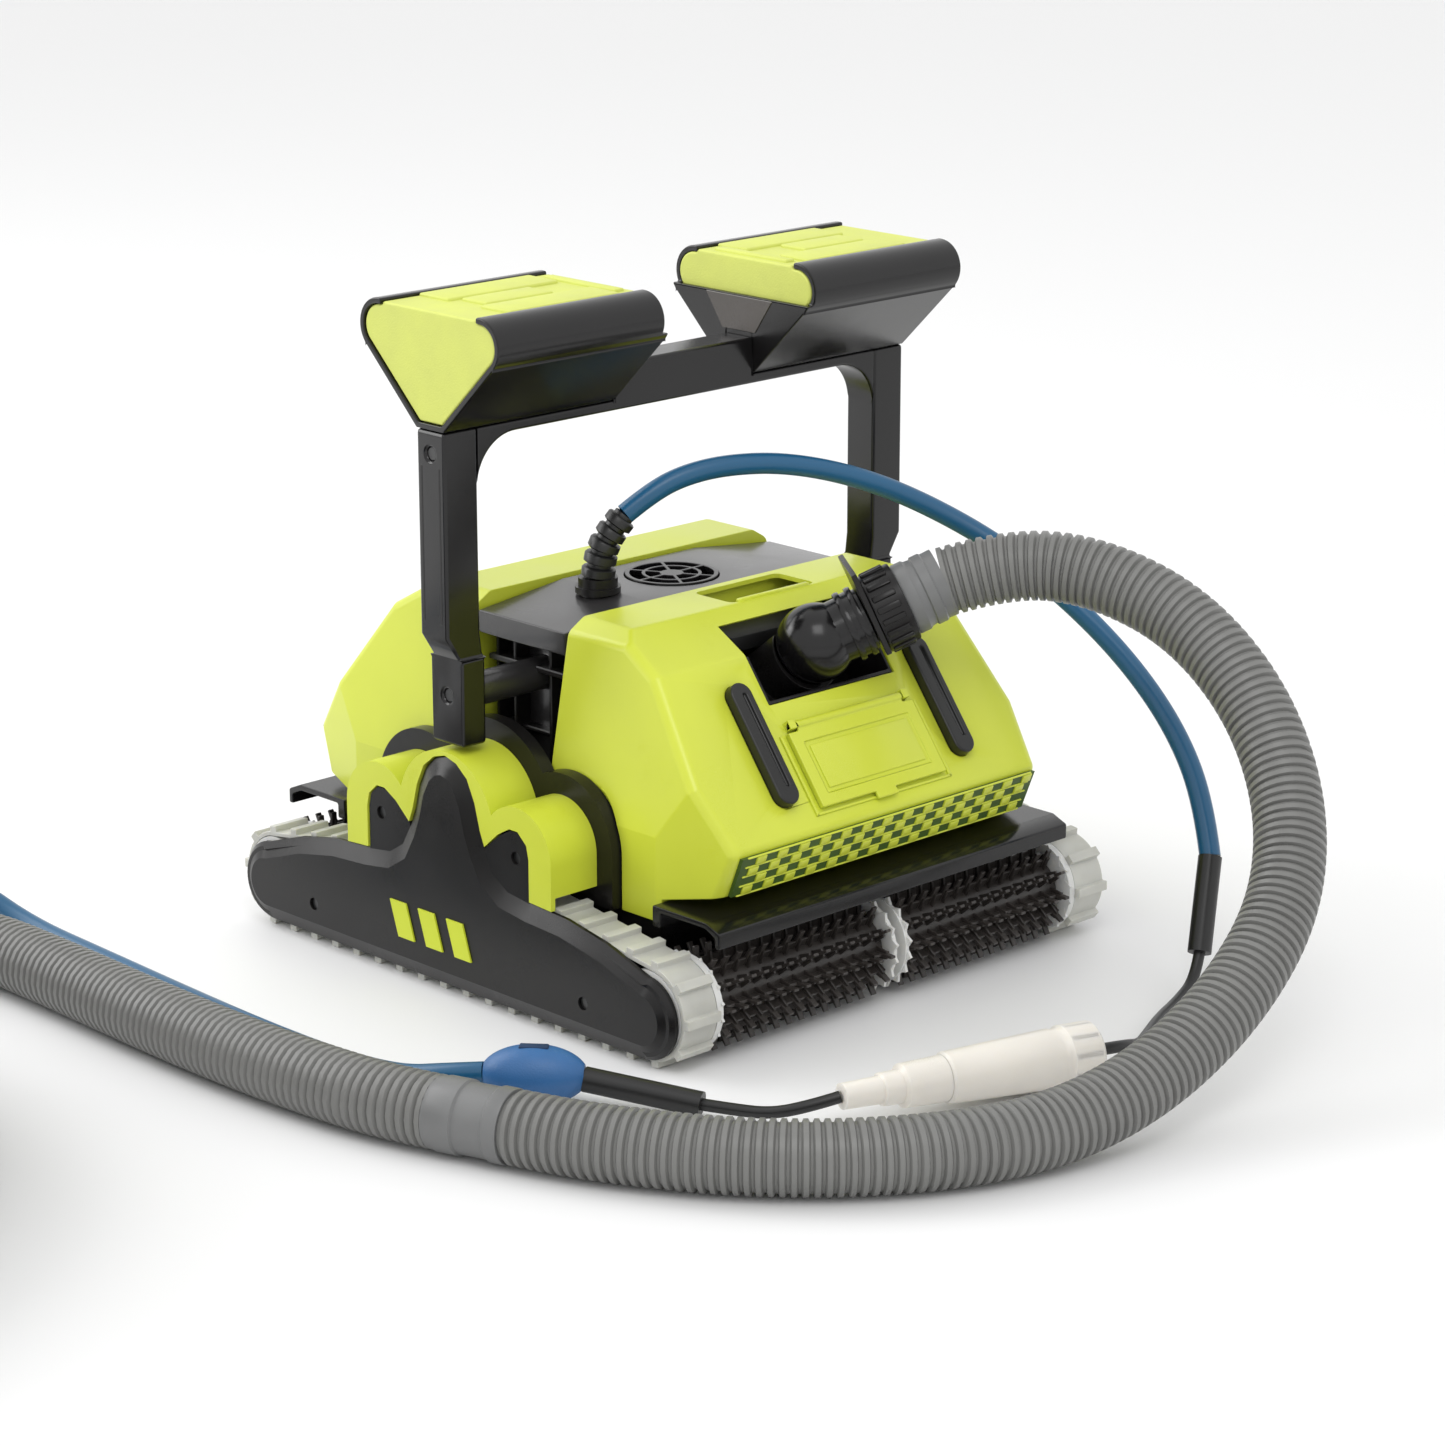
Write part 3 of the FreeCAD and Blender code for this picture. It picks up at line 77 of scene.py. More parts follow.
# ---------------------------------------------------------------------------------------------
# Finishes
# ---------------------------------------------------------------------------------------------
class Grain(Enum):
    """Surface texture of a finish."""

    MOULDED = "moulded"
    RUBBER = "rubber"
    FOAM = "foam"
    BRUSHED = "brushed"
    SHEATH = "sheath"


@dataclass(frozen=True)
class GrainSize:
    """Fine and coarse texture sizes, per metre, with the bump's depth and strength."""

    fine: float
    coarse: float
    depth: float
    strength: float


GRAINS: dict[Grain, GrainSize] = {
    Grain.MOULDED: GrainSize(2600.0, 14.0, 0.00006, 0.35),
    Grain.RUBBER: GrainSize(1500.0, 30.0, 0.00012, 0.45),
    Grain.FOAM: GrainSize(900.0, 40.0, 0.00035, 0.55),
    Grain.BRUSHED: GrainSize(4000.0, 60.0, 0.00003, 0.4),
    Grain.SHEATH: GrainSize(700.0, 9.0, 0.0001, 0.3),
}


@dataclass(frozen=True)
class Finish:
    """One material: its base, how it drifts and how it is textured."""

    name: str
    colour: tuple[float, float, float]
    rough: float
    grain: Grain = Grain.MOULDED
    metallic: float = 0.0
    coat: float = 0.0
    subsurface: float = 0.0
    transmission: float = 0.0
    specular: float = 0.5
    drift: float = 0.07
    rough_drift: float = 0.08

    def shade(self, factor: float) -> tuple[float, float, float, float]:
        """Colour times a factor, with alpha."""
        red, green, blue = (min(1.0, c * factor) for c in self.colour)
        return (red, green, blue, 1.0)

    def material(self) -> bpy.types.Material:
        """Build the material once, and return the same one after that.

        Returns:
            The Blender material of this finish.
        """
        found = bpy.data.materials.get(self.name)
        if found:
            return found
        made = bpy.data.materials.new(self.name)
        made.use_nodes = True
        tree = made.node_tree
        shader = tree.nodes["Principled BSDF"]
        shader.inputs["Metallic"].default_value = self.metallic
        shader.inputs["Coat Weight"].default_value = self.coat
        shader.inputs["Coat Roughness"].default_value = 0.12
        shader.inputs["Specular IOR Level"].default_value = self.specular
        shader.inputs["Transmission Weight"].default_value = self.transmission
        if self.subsurface:
            shader.inputs["Subsurface Weight"].default_value = self.subsurface
            shader.inputs["Subsurface Scale"].default_value = 0.004
            shader.inputs["Subsurface Radius"].default_value = (1.0, 0.9, 0.7)
        size = GRAINS[self.grain]
        coords = tree.nodes.new("ShaderNodeTexCoord")
        coarse = self._noise(tree, coords, size.coarse, 3.0)
        fine = self._noise(tree, coords, size.fine, 2.0)
        self._colour(tree, shader, coarse)
        self._roughness(tree, shader, coarse, fine)
        bump = tree.nodes.new("ShaderNodeBump")
        bump.inputs["Strength"].default_value = size.strength
        bump.inputs["Distance"].default_value = size.depth
        tree.links.new(fine.outputs["Fac"], bump.inputs["Height"])
        tree.links.new(bump.outputs["Normal"], shader.inputs["Normal"])
        return made

    def _noise(self, tree: bpy.types.NodeTree, coords: bpy.types.Node, scale: float, detail: float) -> bpy.types.Node:
        """Add a noise texture on Object coordinates.

        Args:
            tree: The material's node tree.
            coords: The texture coordinate node.
            scale: Features per metre.
            detail: Octaves.

        Returns:
            The noise node.
        """
        node = tree.nodes.new("ShaderNodeTexNoise")
        node.inputs["Scale"].default_value = scale
        node.inputs["Detail"].default_value = detail
        tree.links.new(coords.outputs["Object"], node.inputs["Vector"])
        return node

    def _colour(self, tree: bpy.types.NodeTree, shader: bpy.types.Node, coarse: bpy.types.Node) -> None:
        """Drift the base colour a little with the coarse noise.

        Args:
            tree: The material's node tree.
            shader: The Principled shader.
            coarse: The coarse noise.
        """
        ramp = tree.nodes.new("ShaderNodeValToRGB")
        ramp.color_ramp.elements[0].position = 0.3
        ramp.color_ramp.elements[0].color = self.shade(1.0 - self.drift)
        ramp.color_ramp.elements[1].position = 0.7
        ramp.color_ramp.elements[1].color = self.shade(1.0 + self.drift)
        tree.links.new(coarse.outputs["Fac"], ramp.inputs["Fac"])
        tree.links.new(ramp.outputs["Color"], shader.inputs["Base Color"])

    def _roughness(self, tree: bpy.types.NodeTree, shader: bpy.types.Node, coarse: bpy.types.Node,
                   fine: bpy.types.Node) -> None:
        """Vary the roughness with both noises.

        Args:
            tree: The material's node tree.
            shader: The Principled shader.
            coarse: The coarse noise.
            fine: The fine noise.
        """
        blend = tree.nodes.new("ShaderNodeMath")
        blend.operation = "MULTIPLY_ADD"
        blend.inputs[1].default_value = 0.35
        tree.links.new(fine.outputs["Fac"], blend.inputs[0])
        tree.links.new(coarse.outputs["Fac"], blend.inputs[2])
        reach = tree.nodes.new("ShaderNodeMapRange")
        reach.inputs["From Min"].default_value = 0.4
        reach.inputs["From Max"].default_value = 0.95
        reach.inputs["To Min"].default_value = max(0.02, self.rough - self.rough_drift)
        reach.inputs["To Max"].default_value = min(1.0, self.rough + self.rough_drift)
        tree.links.new(blend.outputs[0], reach.inputs["Value"])
        tree.links.new(reach.outputs["Result"], shader.inputs["Roughness"])


LIME = Finish("lime_moulding", (0.60, 0.665, 0.048), 0.33, coat=0.12, drift=0.03)
LIME_DARK = Finish("lime_shadow", (0.045, 0.095, 0.008), 0.5, drift=0.1)
BADGE = Finish("lime_print", (0.60, 0.68, 0.03), 0.4, drift=0.03)
FOAM = Finish("lime_foam", (0.585, 0.635, 0.13), 0.58, Grain.FOAM, drift=0.04)
BLACK = Finish("black_moulding", (0.0085, 0.0078, 0.0078), 0.3, specular=0.32, drift=0.12)
BLACK_GLOSS = Finish("black_polished", (0.006, 0.0056, 0.006), 0.19, coat=0.05, specular=0.4, drift=0.12)
CASING = Finish("black_casing", (0.022, 0.021, 0.0215), 0.3, coat=0.35, drift=0.1)
BLACK_MATT = Finish("black_dull", (0.005, 0.005, 0.005), 0.55, drift=0.15)
BRUSH_RUBBER = Finish("fin_rubber", (0.036, 0.031, 0.028), 0.36, Grain.RUBBER, drift=0.2)
PAD_RUBBER = Finish("soft_rubber", (0.008, 0.008, 0.008), 0.38, Grain.RUBBER, drift=0.15)
BELT = Finish("ivory_belt", (0.50, 0.50, 0.46), 0.34, Grain.RUBBER, subsurface=0.35, drift=0.12)
WHITE = Finish("white_moulding", (0.66, 0.66, 0.64), 0.35, subsurface=0.3, drift=0.06)
HOSE = Finish("grey_hose", (0.168, 0.168, 0.161), 0.42, drift=0.06)
CUFF = Finish("grey_cuff", (0.155, 0.157, 0.157), 0.4, Grain.RUBBER, drift=0.06)
CABLE = Finish("blue_sheath", (0.009, 0.095, 0.205), 0.34, Grain.SHEATH, drift=0.1)
LEAD = Finish("black_sheath", (0.008, 0.008, 0.008), 0.4, Grain.SHEATH, drift=0.15)
FLOAT_BLUE = Finish("blue_float", (0.025, 0.12, 0.31), 0.42, Grain.FOAM, drift=0.08)
# Painted shade: dark blue that stands for the shaded inside of the float's slot.
SLOT_SHADE = Finish("blue_slot_shade", (0.005, 0.03, 0.09), 0.6)
SWIVEL_WHITE = Finish("ivory_moulding", (0.80, 0.765, 0.70), 0.34, subsurface=0.35, drift=0.04)
STEEL = Finish("bright_steel", (0.48, 0.48, 0.48), 0.3, Grain.BRUSHED, metallic=1.0)
SCREW = Finish("dark_steel", (0.08, 0.08, 0.08), 0.35, Grain.BRUSHED, metallic=0.9)
SMOKE = Finish("smoke_grey", (0.04, 0.032, 0.026), 0.25, coat=0.3, drift=0.1)


# ---------------------------------------------------------------------------------------------
# Modelling helpers
# ---------------------------------------------------------------------------------------------
def deselect() -> None:
    """Deselect every object."""
    for one in bpy.context.view_layer.objects:
        one.select_set(False)


def pick(piece: bpy.types.Object) -> bpy.types.Object:
    """Make one object the only selected one, and the active one."""
    deselect()
    piece.select_set(True)
    bpy.context.view_layer.objects.active = piece
    return piece


def dress(piece: bpy.types.Object, finish: Finish) -> bpy.types.Object:
    """Give all of a piece one finish.

    Args:
        piece: A mesh or curve object.
        finish: The finish to put on it.

    Returns:
        The same piece.
    """
    piece.data.materials.clear()
    piece.data.materials.append(finish.material())
    return piece


def dress_node(node: str, finish: Finish) -> None:
    """Put a finish on a CAD node that stays."""
    cad = frame["nodes"][node]
    while len(cad.material_slots) < 1:
        cad.data.materials.append(None)
    for place in cad.material_slots:
        place.material = finish.material()


def settle(piece: bpy.types.Object) -> bpy.types.Object:
    """Move a piece's place into its mesh, so that its object sits at the origin.

    Args:
        piece: A mesh object with no parent.

    Returns:
        The same piece.
    """
    bpy.context.view_layer.update()
    piece.data.transform(piece.matrix_world)
    piece.matrix_world = Matrix.Identity(4)
    return piece


def finish_piece(piece: bpy.types.Object, body: str, slot: str, *nodes: str) -> bpy.types.Object:
    """Let a piece ride, hide the CAD nodes it stands for, and log it.

    Args:
        piece: The finished object.
        body: The CAD body it moves with.
        slot: The record's material slot; not used.
        nodes: CAD nodes that it replaces.

    Returns:
        The same piece.
    """
    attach(piece, body)
    if nodes:
        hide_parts(*nodes)
    LOG.info("%s rides on %s", piece.name, body)
    return piece


def apply_modifier(piece: bpy.types.Object, kind: str, **values: object) -> None:
    """Add one modifier, set it and apply it.

    Args:
        piece: The object to change.
        kind: The modifier's type.
        values: Its settings by name.
    """
    pick(piece)
    added = piece.modifiers.new(kind.lower(), kind)
    for name, value in values.items():
        setattr(added, name, value)
    bpy.ops.object.modifier_apply(modifier=added.name)


def smooth(piece: bpy.types.Object, degrees: float = 35.0) -> bpy.types.Object:
    """Shade a piece smooth up to an angle."""
    pick(piece)
    bpy.ops.object.shade_smooth_by_angle(angle=math.radians(degrees))
    return piece


def flattened(piece: bpy.types.Object) -> bpy.types.Object:
    """Let the large faces set the shading, so that flat faces stay flat beside rounded edges."""
    apply_modifier(piece, "WEIGHTED_NORMAL", keep_sharp=True, weight=100)
    return piece


def copied(node: str, name: str) -> bpy.types.Object:
    """Copy a CAD node into a new piece, and merge its loose triangles.

    Args:
        node: The CAD node to copy.
        name: The new piece's name.

    Returns:
        The new piece, which has no parent yet.
    """
    piece = bpy.data.objects.new(name, frame["nodes"][node].data.copy())
    bpy.context.scene.collection.objects.link(piece)
    pick(piece)
    bpy.ops.object.mode_set(mode="EDIT")
    bpy.ops.mesh.select_all(action="SELECT")
    bpy.ops.mesh.customdata_custom_splitnormals_clear()
    bpy.ops.mesh.remove_doubles(threshold=0.00001)
    bpy.ops.object.mode_set(mode="OBJECT")
    return piece


def softened(node: str, name: str, width: float, segments: int = 2, degrees: float = 38.0) -> bpy.types.Object:
    """Copy a CAD node and round its sharp edges.

    Args:
        node: The CAD node to copy.
        name: The new piece's name.
        width: Width of the rounding, in metres.
        segments: Facets across a rounded edge.
        degrees: Edges sharper than this are rounded.

    Returns:
        The new piece, which has no parent yet.
    """
    piece = copied(node, name)
    bpy.ops.object.mode_set(mode="EDIT")
    bpy.ops.mesh.dissolve_limited(angle_limit=math.radians(0.6))
    bpy.ops.object.mode_set(mode="OBJECT")
    apply_modifier(piece, "BEVEL", width=width, segments=segments, limit_method="ANGLE",
                   angle_limit=math.radians(degrees), use_clamp_overlap=False, miter_outer="MITER_ARC")
    return flattened(smooth(piece))


def block(name: str, low: tuple[float, float, float], high: tuple[float, float, float], width: float,
          segments: int = 2) -> bpy.types.Object:
    """Make a rounded block between two corners, in millimetres.

    Args:
        name: The piece's name.
        low: Lowest corner.
        high: Highest corner.
        width: Width of the edge rounding, in millimetres.
        segments: Facets across a rounded edge.

    Returns:
        The piece, at the origin with its place in its mesh.
    """
    deselect()
    middle = [(a + b) / 2 * MM for a, b in zip(low, high)]
    bpy.ops.mesh.primitive_cube_add(size=1.0, location=middle)
    piece = bpy.context.active_object
    piece.name = name
    piece.scale = [abs(b - a) * MM for a, b in zip(low, high)]
    settle(piece)
    apply_modifier(piece, "BEVEL", width=width * MM, segments=segments, limit_method="ANGLE")
    return smooth(piece)


def turned(name: str, profile: list[tuple[float, float]], start: Vector, along: Vector, sides: int = 48) -> bpy.types.Object:
    """Spin a profile about an axis, as on a lathe.

    Args:
        name: The piece's name.
        profile: Pairs of distance along the axis and radius, in millimetres.
        start: Where the axis starts, in metres.
        along: The axis's direction.
        sides: Facets round the axis.

    Returns:
        The piece, at the origin with its place in its mesh.
    """
    deselect()
    bpy.ops.mesh.primitive_plane_add(size=0.01)
    piece = bpy.context.active_object
    piece.name = name
    bpy.ops.object.mode_set(mode="EDIT")
    bpy.ops.mesh.merge(type="CENTER")
    bpy.ops.transform.translate(value=(profile[0][1] * MM, 0, profile[0][0] * MM))
    for (distance, radius), (next_distance, next_radius) in zip(profile, profile[1:]):
        step = ((next_radius - radius) * MM, 0, (next_distance - distance) * MM)
        bpy.ops.mesh.extrude_region_move(TRANSFORM_OT_translate={"value": step})
    bpy.ops.mesh.select_all(action="SELECT")
    bpy.ops.mesh.spin(steps=sides, angle=2 * math.pi, center=(0, 0, 0), axis=(0, 0, 1))
    bpy.ops.mesh.select_all(action="SELECT")
    bpy.ops.mesh.remove_doubles(threshold=0.00001)
    bpy.ops.mesh.normals_make_consistent(inside=False)
    bpy.ops.object.mode_set(mode="OBJECT")
    piece.matrix_world = Matrix.Translation(start) @ along.normalized().to_track_quat("Z", "Y").to_matrix().to_4x4()
    return smooth(settle(piece))


def repeated(source: bpy.types.Object, name: str, places: list[Matrix]) -> bpy.types.Object:
    """Join copies of one small piece into one object, and remove the source.

    Args:
        source: The piece that is repeated, at the origin.
        name: The joined piece's name.
        places: One matrix for each copy.

    Returns:
        The joined piece.
    """
    copies = []
    for place in places:
        copy = bpy.data.objects.new(name, source.data.copy())
        bpy.context.scene.collection.objects.link(copy)
        copy.data.transform(place)
        copies.append(copy)
    bpy.data.objects.remove(source)
    return joined(copies, name)


def joined(parts: list[bpy.types.Object], name: str) -> bpy.types.Object:
    """Join several objects into the first, keeping their materials."""
    deselect()
    for part in parts:
        part.select_set(True)
    bpy.context.view_layer.objects.active = parts[0]
    bpy.ops.object.join()
    parts[0].name = name
    return parts[0]


# ---------------------------------------------------------------------------------------------
# Cords
# ---------------------------------------------------------------------------------------------
Route = list[tuple[float, float, float]]


def route_curve(name: str, route: Route) -> bpy.types.Object:
    """Make a smooth curve with the route's points as its control points.

    Args:
        name: The curve's name.
        route: Points in millimetres.

    Returns:
        A curve object with one open NURBS spline and no bevel.
    """
    data = bpy.data.curves.new(name, "CURVE")
    data.dimensions = "3D"
    spline = data.splines.new("NURBS")
    spline.points.add(len(route) - 1)
    for point, place in zip(spline.points, route):
        point.co = (place[0] * MM, place[1] * MM, place[2] * MM, 1.0)
    spline.order_u = 3
    spline.use_endpoint_u = True
    spline.resolution_u = 8
    data.resolution_u = 8
    piece = bpy.data.objects.new(name, data)
    bpy.context.scene.collection.objects.link(piece)
    return piece


def curve_points(curve: bpy.types.Object) -> np.ndarray:
    """Read the points of a curve with no bevel, in order, in metres."""
    bpy.context.view_layer.update()
    mesh = bpy.data.meshes.new_from_object(curve)
    points = np.array([v.co[:] for v in mesh.vertices])
    bpy.data.meshes.remove(mesh)
    keep = np.r_[True, np.linalg.norm(np.diff(points, axis=0), axis=1) > 1e-6]
    return points[keep]


def line_length(points: np.ndarray) -> float:
    """Length of a line of points."""
    return float(np.linalg.norm(np.diff(points, axis=0), axis=1).sum())


def spiral(centre: tuple[float, float], turns: list[tuple[float, float, float]], per_turn: int) -> Route:
    """Points of a coil, one stretch after another, counterclockwise.

    Args:
        centre: Middle of the coil, in millimetres.
        turns: For each key place its angle in degrees, radius and height, in millimetres.
        per_turn: Points in one whole turn.

    Returns:
        The coil's points.
    """
    mean = 2.0 / (1.0 + math.cos(math.pi / per_turn))
    angles = [t[0] for t in turns]
    radii = [t[1] for t in turns]
    heights = [t[2] for t in turns]
    step = 360.0 / per_turn
    count = int((angles[-1] - angles[0]) / step)
    points = []
    for index in range(count + 1):
        angle = angles[0] + index * step
        radius = float(np.interp(angle, angles, radii)) * mean
        height = float(np.interp(angle, angles, heights))
        turn = math.radians(angle)
        points.append((centre[0] + radius * math.cos(turn), centre[1] + radius * math.sin(turn), height))
    return points


def ribbed_tube(name: str, points: np.ndarray, profile: list[tuple[float, float]], pitch: float, sides: int,
                taper: float = 1.0) -> bpy.types.Object:
    """Make a tube with a rib profile repeated along a line.

    Args:
        name: The piece's name.
        points: The line, in metres.
        profile: Pairs of share of one pitch and radius in metres.
        pitch: Distance between ribs, in metres.
        sides: Facets round the tube.
        taper: Size of the last rib as a share of the first one.

    Returns:
        A closed mesh tube.
    """
    lengths = np.r_[0.0, np.cumsum(np.linalg.norm(np.diff(points, axis=0), axis=1))]
    ribs = int(lengths[-1] / pitch)
    pitch = lengths[-1] / ribs
    shrink = np.linspace(1.0, taper, ribs + 1)
    stations = [((rib + share) * pitch, radius * shrink[rib]) for rib in range(ribs) for share, radius in profile]
    stations.append((lengths[-1], profile[-1][1] * taper))
    places = np.array([[np.interp(s, lengths, points[:, k]) for k in range(3)] for s, _ in stations])
    heading = np.gradient(places, axis=0)
    heading /= np.linalg.norm(heading, axis=1)[:, None]
    side = np.cross(heading[0], (0.0, 0.0, 1.0))
    angles = np.linspace(0, 2 * math.pi, sides, endpoint=False)
    verts = []
    for (_, radius), place, ahead in zip(stations, places, heading):
        side = side - ahead * side.dot(ahead)
        side /= np.linalg.norm(side)
        over = np.cross(ahead, side)
        ringed = place + radius * (np.outer(np.cos(angles), side) + np.outer(np.sin(angles), over))
        verts.append(ringed)
    rows = len(stations)
    index = np.arange(rows * sides).reshape(rows, sides)
    ahead_index = np.roll(index, -1, axis=1)
    quads = np.stack([index[:-1], ahead_index[:-1], ahead_index[1:], index[1:]], axis=-1).reshape(-1, 4)
    faces = [tuple(int(i) for i in quad) for quad in quads]
    faces.append(tuple(int(i) for i in index[0][::-1]))
    faces.append(tuple(int(i) for i in index[-1]))
    mesh = bpy.data.meshes.new(name)
    mesh.from_pydata(np.concatenate(verts).tolist(), [], faces)
    piece = bpy.data.objects.new(name, mesh)
    bpy.context.scene.collection.objects.link(piece)
    return smooth(piece, 50.0)


@dataclass
class Hose:
    """Ribbed suction hose: the first length, the second length and its coil."""

    radius: float = 22.5
    groove: float = 20.3
    pitch: float = 6.3
    coil_centre: tuple[float, float] = (-802.0, 110.0)
    outer_r: float = 247.5
    inner_r: float = 202.5
    first: Route = field(default_factory=lambda: [
        (71, -180, 260), (101, -209, 273), (130, -256, 271), (147, -319, 249), (144, -380, 206), (121, -428, 154),
        (77, -460, 107), (14, -473, 67), (-58, -474, 37), (-130, -466, 23), (-198, -446, 23), (-256, -408, 23),
        (-300, -360, 23), (-329, -311, 23), (-346, -276, 23), (-357, -243, 23)])
    second: Route = field(default_factory=lambda: [
        (-373, -195, 23), (-384, -162, 23), (-392, -105, 23), (-397, -30, 23), (-397, 55, 23), (-394, 150, 23),
        (-394, 247, 23), (-434, 317, 23), (-503, 357, 23), (-580, 360, 23), (-655, 360, 23), (-725, 358, 23)])

    last: Route = field(default_factory=lambda: [(-745, 352, 159), (-762, 353, 159)])

    def coil(self) -> Route:
        """Points of the put-away turns and of the rise into the end cuff."""
        far, near = self.outer_r, self.inner_r
        low, middle, top = 23.0, 67.5, 112.5
        turns = [(90, far, low), (390, far, low), (450, near, low), (750, near, low), (810, near, middle),
                 (1110, near, middle), (1170, far, middle), (1470, far, middle), (1530, far, top), (1830, far, top),
                 (1890, near, top), (2110, near, top), (2170, near + 5, 150), (2230, 243, 159)]
        return spiral(self.coil_centre, turns, 18)

    def profile(self) -> list[tuple[float, float]]:
        """Rib profile over one pitch, in metres."""
        high, low = self.radius * MM, self.groove * MM
        return [(0.0, high), (0.45, high), (0.62, low), (0.84, low)]

    def build(self) -> None:
        line = route_curve("hose_line", self.first)
        points = curve_points(line)
        bpy.data.objects.remove(line)
        piece = dress(ribbed_tube("hose_first", points, self.profile(), self.pitch * MM, 36), HOSE)
        finish_piece(piece, ROOT, "hose_grey", "hose_tube")
        line = route_curve("hose_line", self.second + self.coil() + self.last)
        points = curve_points(line)
        bpy.data.objects.remove(line)
        profile = [(0.0, self.radius * MM), (0.5, self.radius * MM), (0.75, self.groove * MM)]
        piece = dress(ribbed_tube("hose_second", points, profile, self.pitch * MM, 18), HOSE)
        finish_piece(piece, ROOT, "hose_grey", "hose_coil")


@dataclass
class Cable:
    """Blue floating cable with its coil, and its thin black leads."""

    radius: float = 7.0
    lead_radius: float = 3.8
    coil_centre: tuple[float, float] = (-802.0, 110.0)
    inner_r: float = 62.0
    outer_r: float = 188.0
    turns: int = 10
    coil_z: float = 142.0
    rise: Route = field(default_factory=lambda: [
        (-52, -11, 296), (-37, -18, 308), (-16, -26, 318), (13, -38, 323), (52, -54, 321), (95, -75, 309),
        (134, -101, 289), (166, -142, 261), (186, -187, 228), (197, -232, 191), (200, -270, 152), (195, -298, 112),
        (184, -314, 80)])
    lead_first: Route = field(default_factory=lambda: [
        (154, -332, 26), (144, -337, 11), (121, -343, 4.5), (88, -355, 4.5), (56, -371, 5), (29, -388, 11),
        (3, -397, 20), (-16, -391, 20)])
    lead_second: Route = field(default_factory=lambda: [
        (-182, -336, 20), (-198, -325, 15), (-211, -307, 9), (-220, -286, 8), (-230, -268, 9)])
    tail: Route = field(default_factory=lambda: [
        (-306, -158, 19), (-319, -141, 17), (-329, -108, 9), (-336, -55, 7), (-338, 20, 7), (-335, 110, 7),
        (-331, 200, 7), (-331, 275, 9), (-341, 325, 27), (-370, 352, 53), (-413, 360, 76), (-466, 346, 96),
        (-520, 322, 120), (-575, 302, 146), (-638, 296, 151), (-710, 297, 142), (-760, 298, 142)])

    last: Route = field(default_factory=lambda: [(-715, 228, 177.5), (-735, 235, 177.5), (-750, 235, 177.5)])

    def coil(self) -> Route:
        """Points of the put-away turns and of the rise into the connector."""
        whole = 360.0 * self.turns
        upper = self.coil_z + 2 * self.radius
        shift = (self.outer_r - self.inner_r) / (self.turns - 1)
        keys = [(90.0, self.outer_r, self.coil_z)]
        for turn in range(1, self.turns):
            angle = 90.0 + 360.0 * turn
            keys.append((angle - 50.0, self.outer_r - shift * (turn - 1), self.coil_z))
            keys.append((angle, self.outer_r - shift * turn, self.coil_z))
        keys.append((90.0 + whole - 50.0, self.inner_r, self.coil_z))
        for turn in range(self.turns):
            angle = 90.0 + whole + 360.0 * turn
            keys.append((angle, self.inner_r + shift * turn, upper))
            keys.append((angle + 310.0, self.inner_r + shift * turn, upper))
        last = 90.0 + 2 * whole
        keys.append((last + 100.0, 180.0, upper + 16.0))
        keys.append((last + 310.0, 148.0, upper + 21.5))
        return spiral(self.coil_centre, keys, 14)

    def thick(self, name: str, route: Route, radius: float, finish: Finish, slot: str, *nodes: str) -> bpy.types.Object:
        """Make one round cord as a curve with a bevel.

        Args:
            name: The piece's name.
            route: Control points, in millimetres.
            radius: The cord's radius, in millimetres.
            finish: Its finish.
            slot: The record's slot.
            nodes: CAD nodes that it replaces.

        Returns:
            The curve object.
        """
        piece = route_curve(name, route)
        length = line_length(curve_points(piece))
        piece.data.bevel_depth = radius * MM
        piece.data.bevel_resolution = 5
        piece.data.use_fill_caps = True
        dress(piece, finish)
        finish_piece(piece, ROOT, slot, *nodes)
        piece["length"] = length
        return piece

    def build(self, swivel: list[bpy.types.Object]) -> None:
        """Args:
            swivel: The inline swivel's two halves, one on each thin lead; not used.
        """
        piece = self.thick("cable_rise", self.rise, self.radius, CABLE, "cable_blue", "cable_tube")
        piece = self.thick("lead_first", self.lead_first, self.lead_radius, LEAD, "lead_black", "cable_leads")
        piece = self.thick("lead_second", self.lead_second, self.lead_radius, LEAD, "lead_black")
        route = self.tail + self.coil() + self.last
        piece = self.thick("cable_tail", route, self.radius, CABLE, "cable_blue", "cable_coil")
        LOG.info("cable tail length %.3f m", piece["length"])


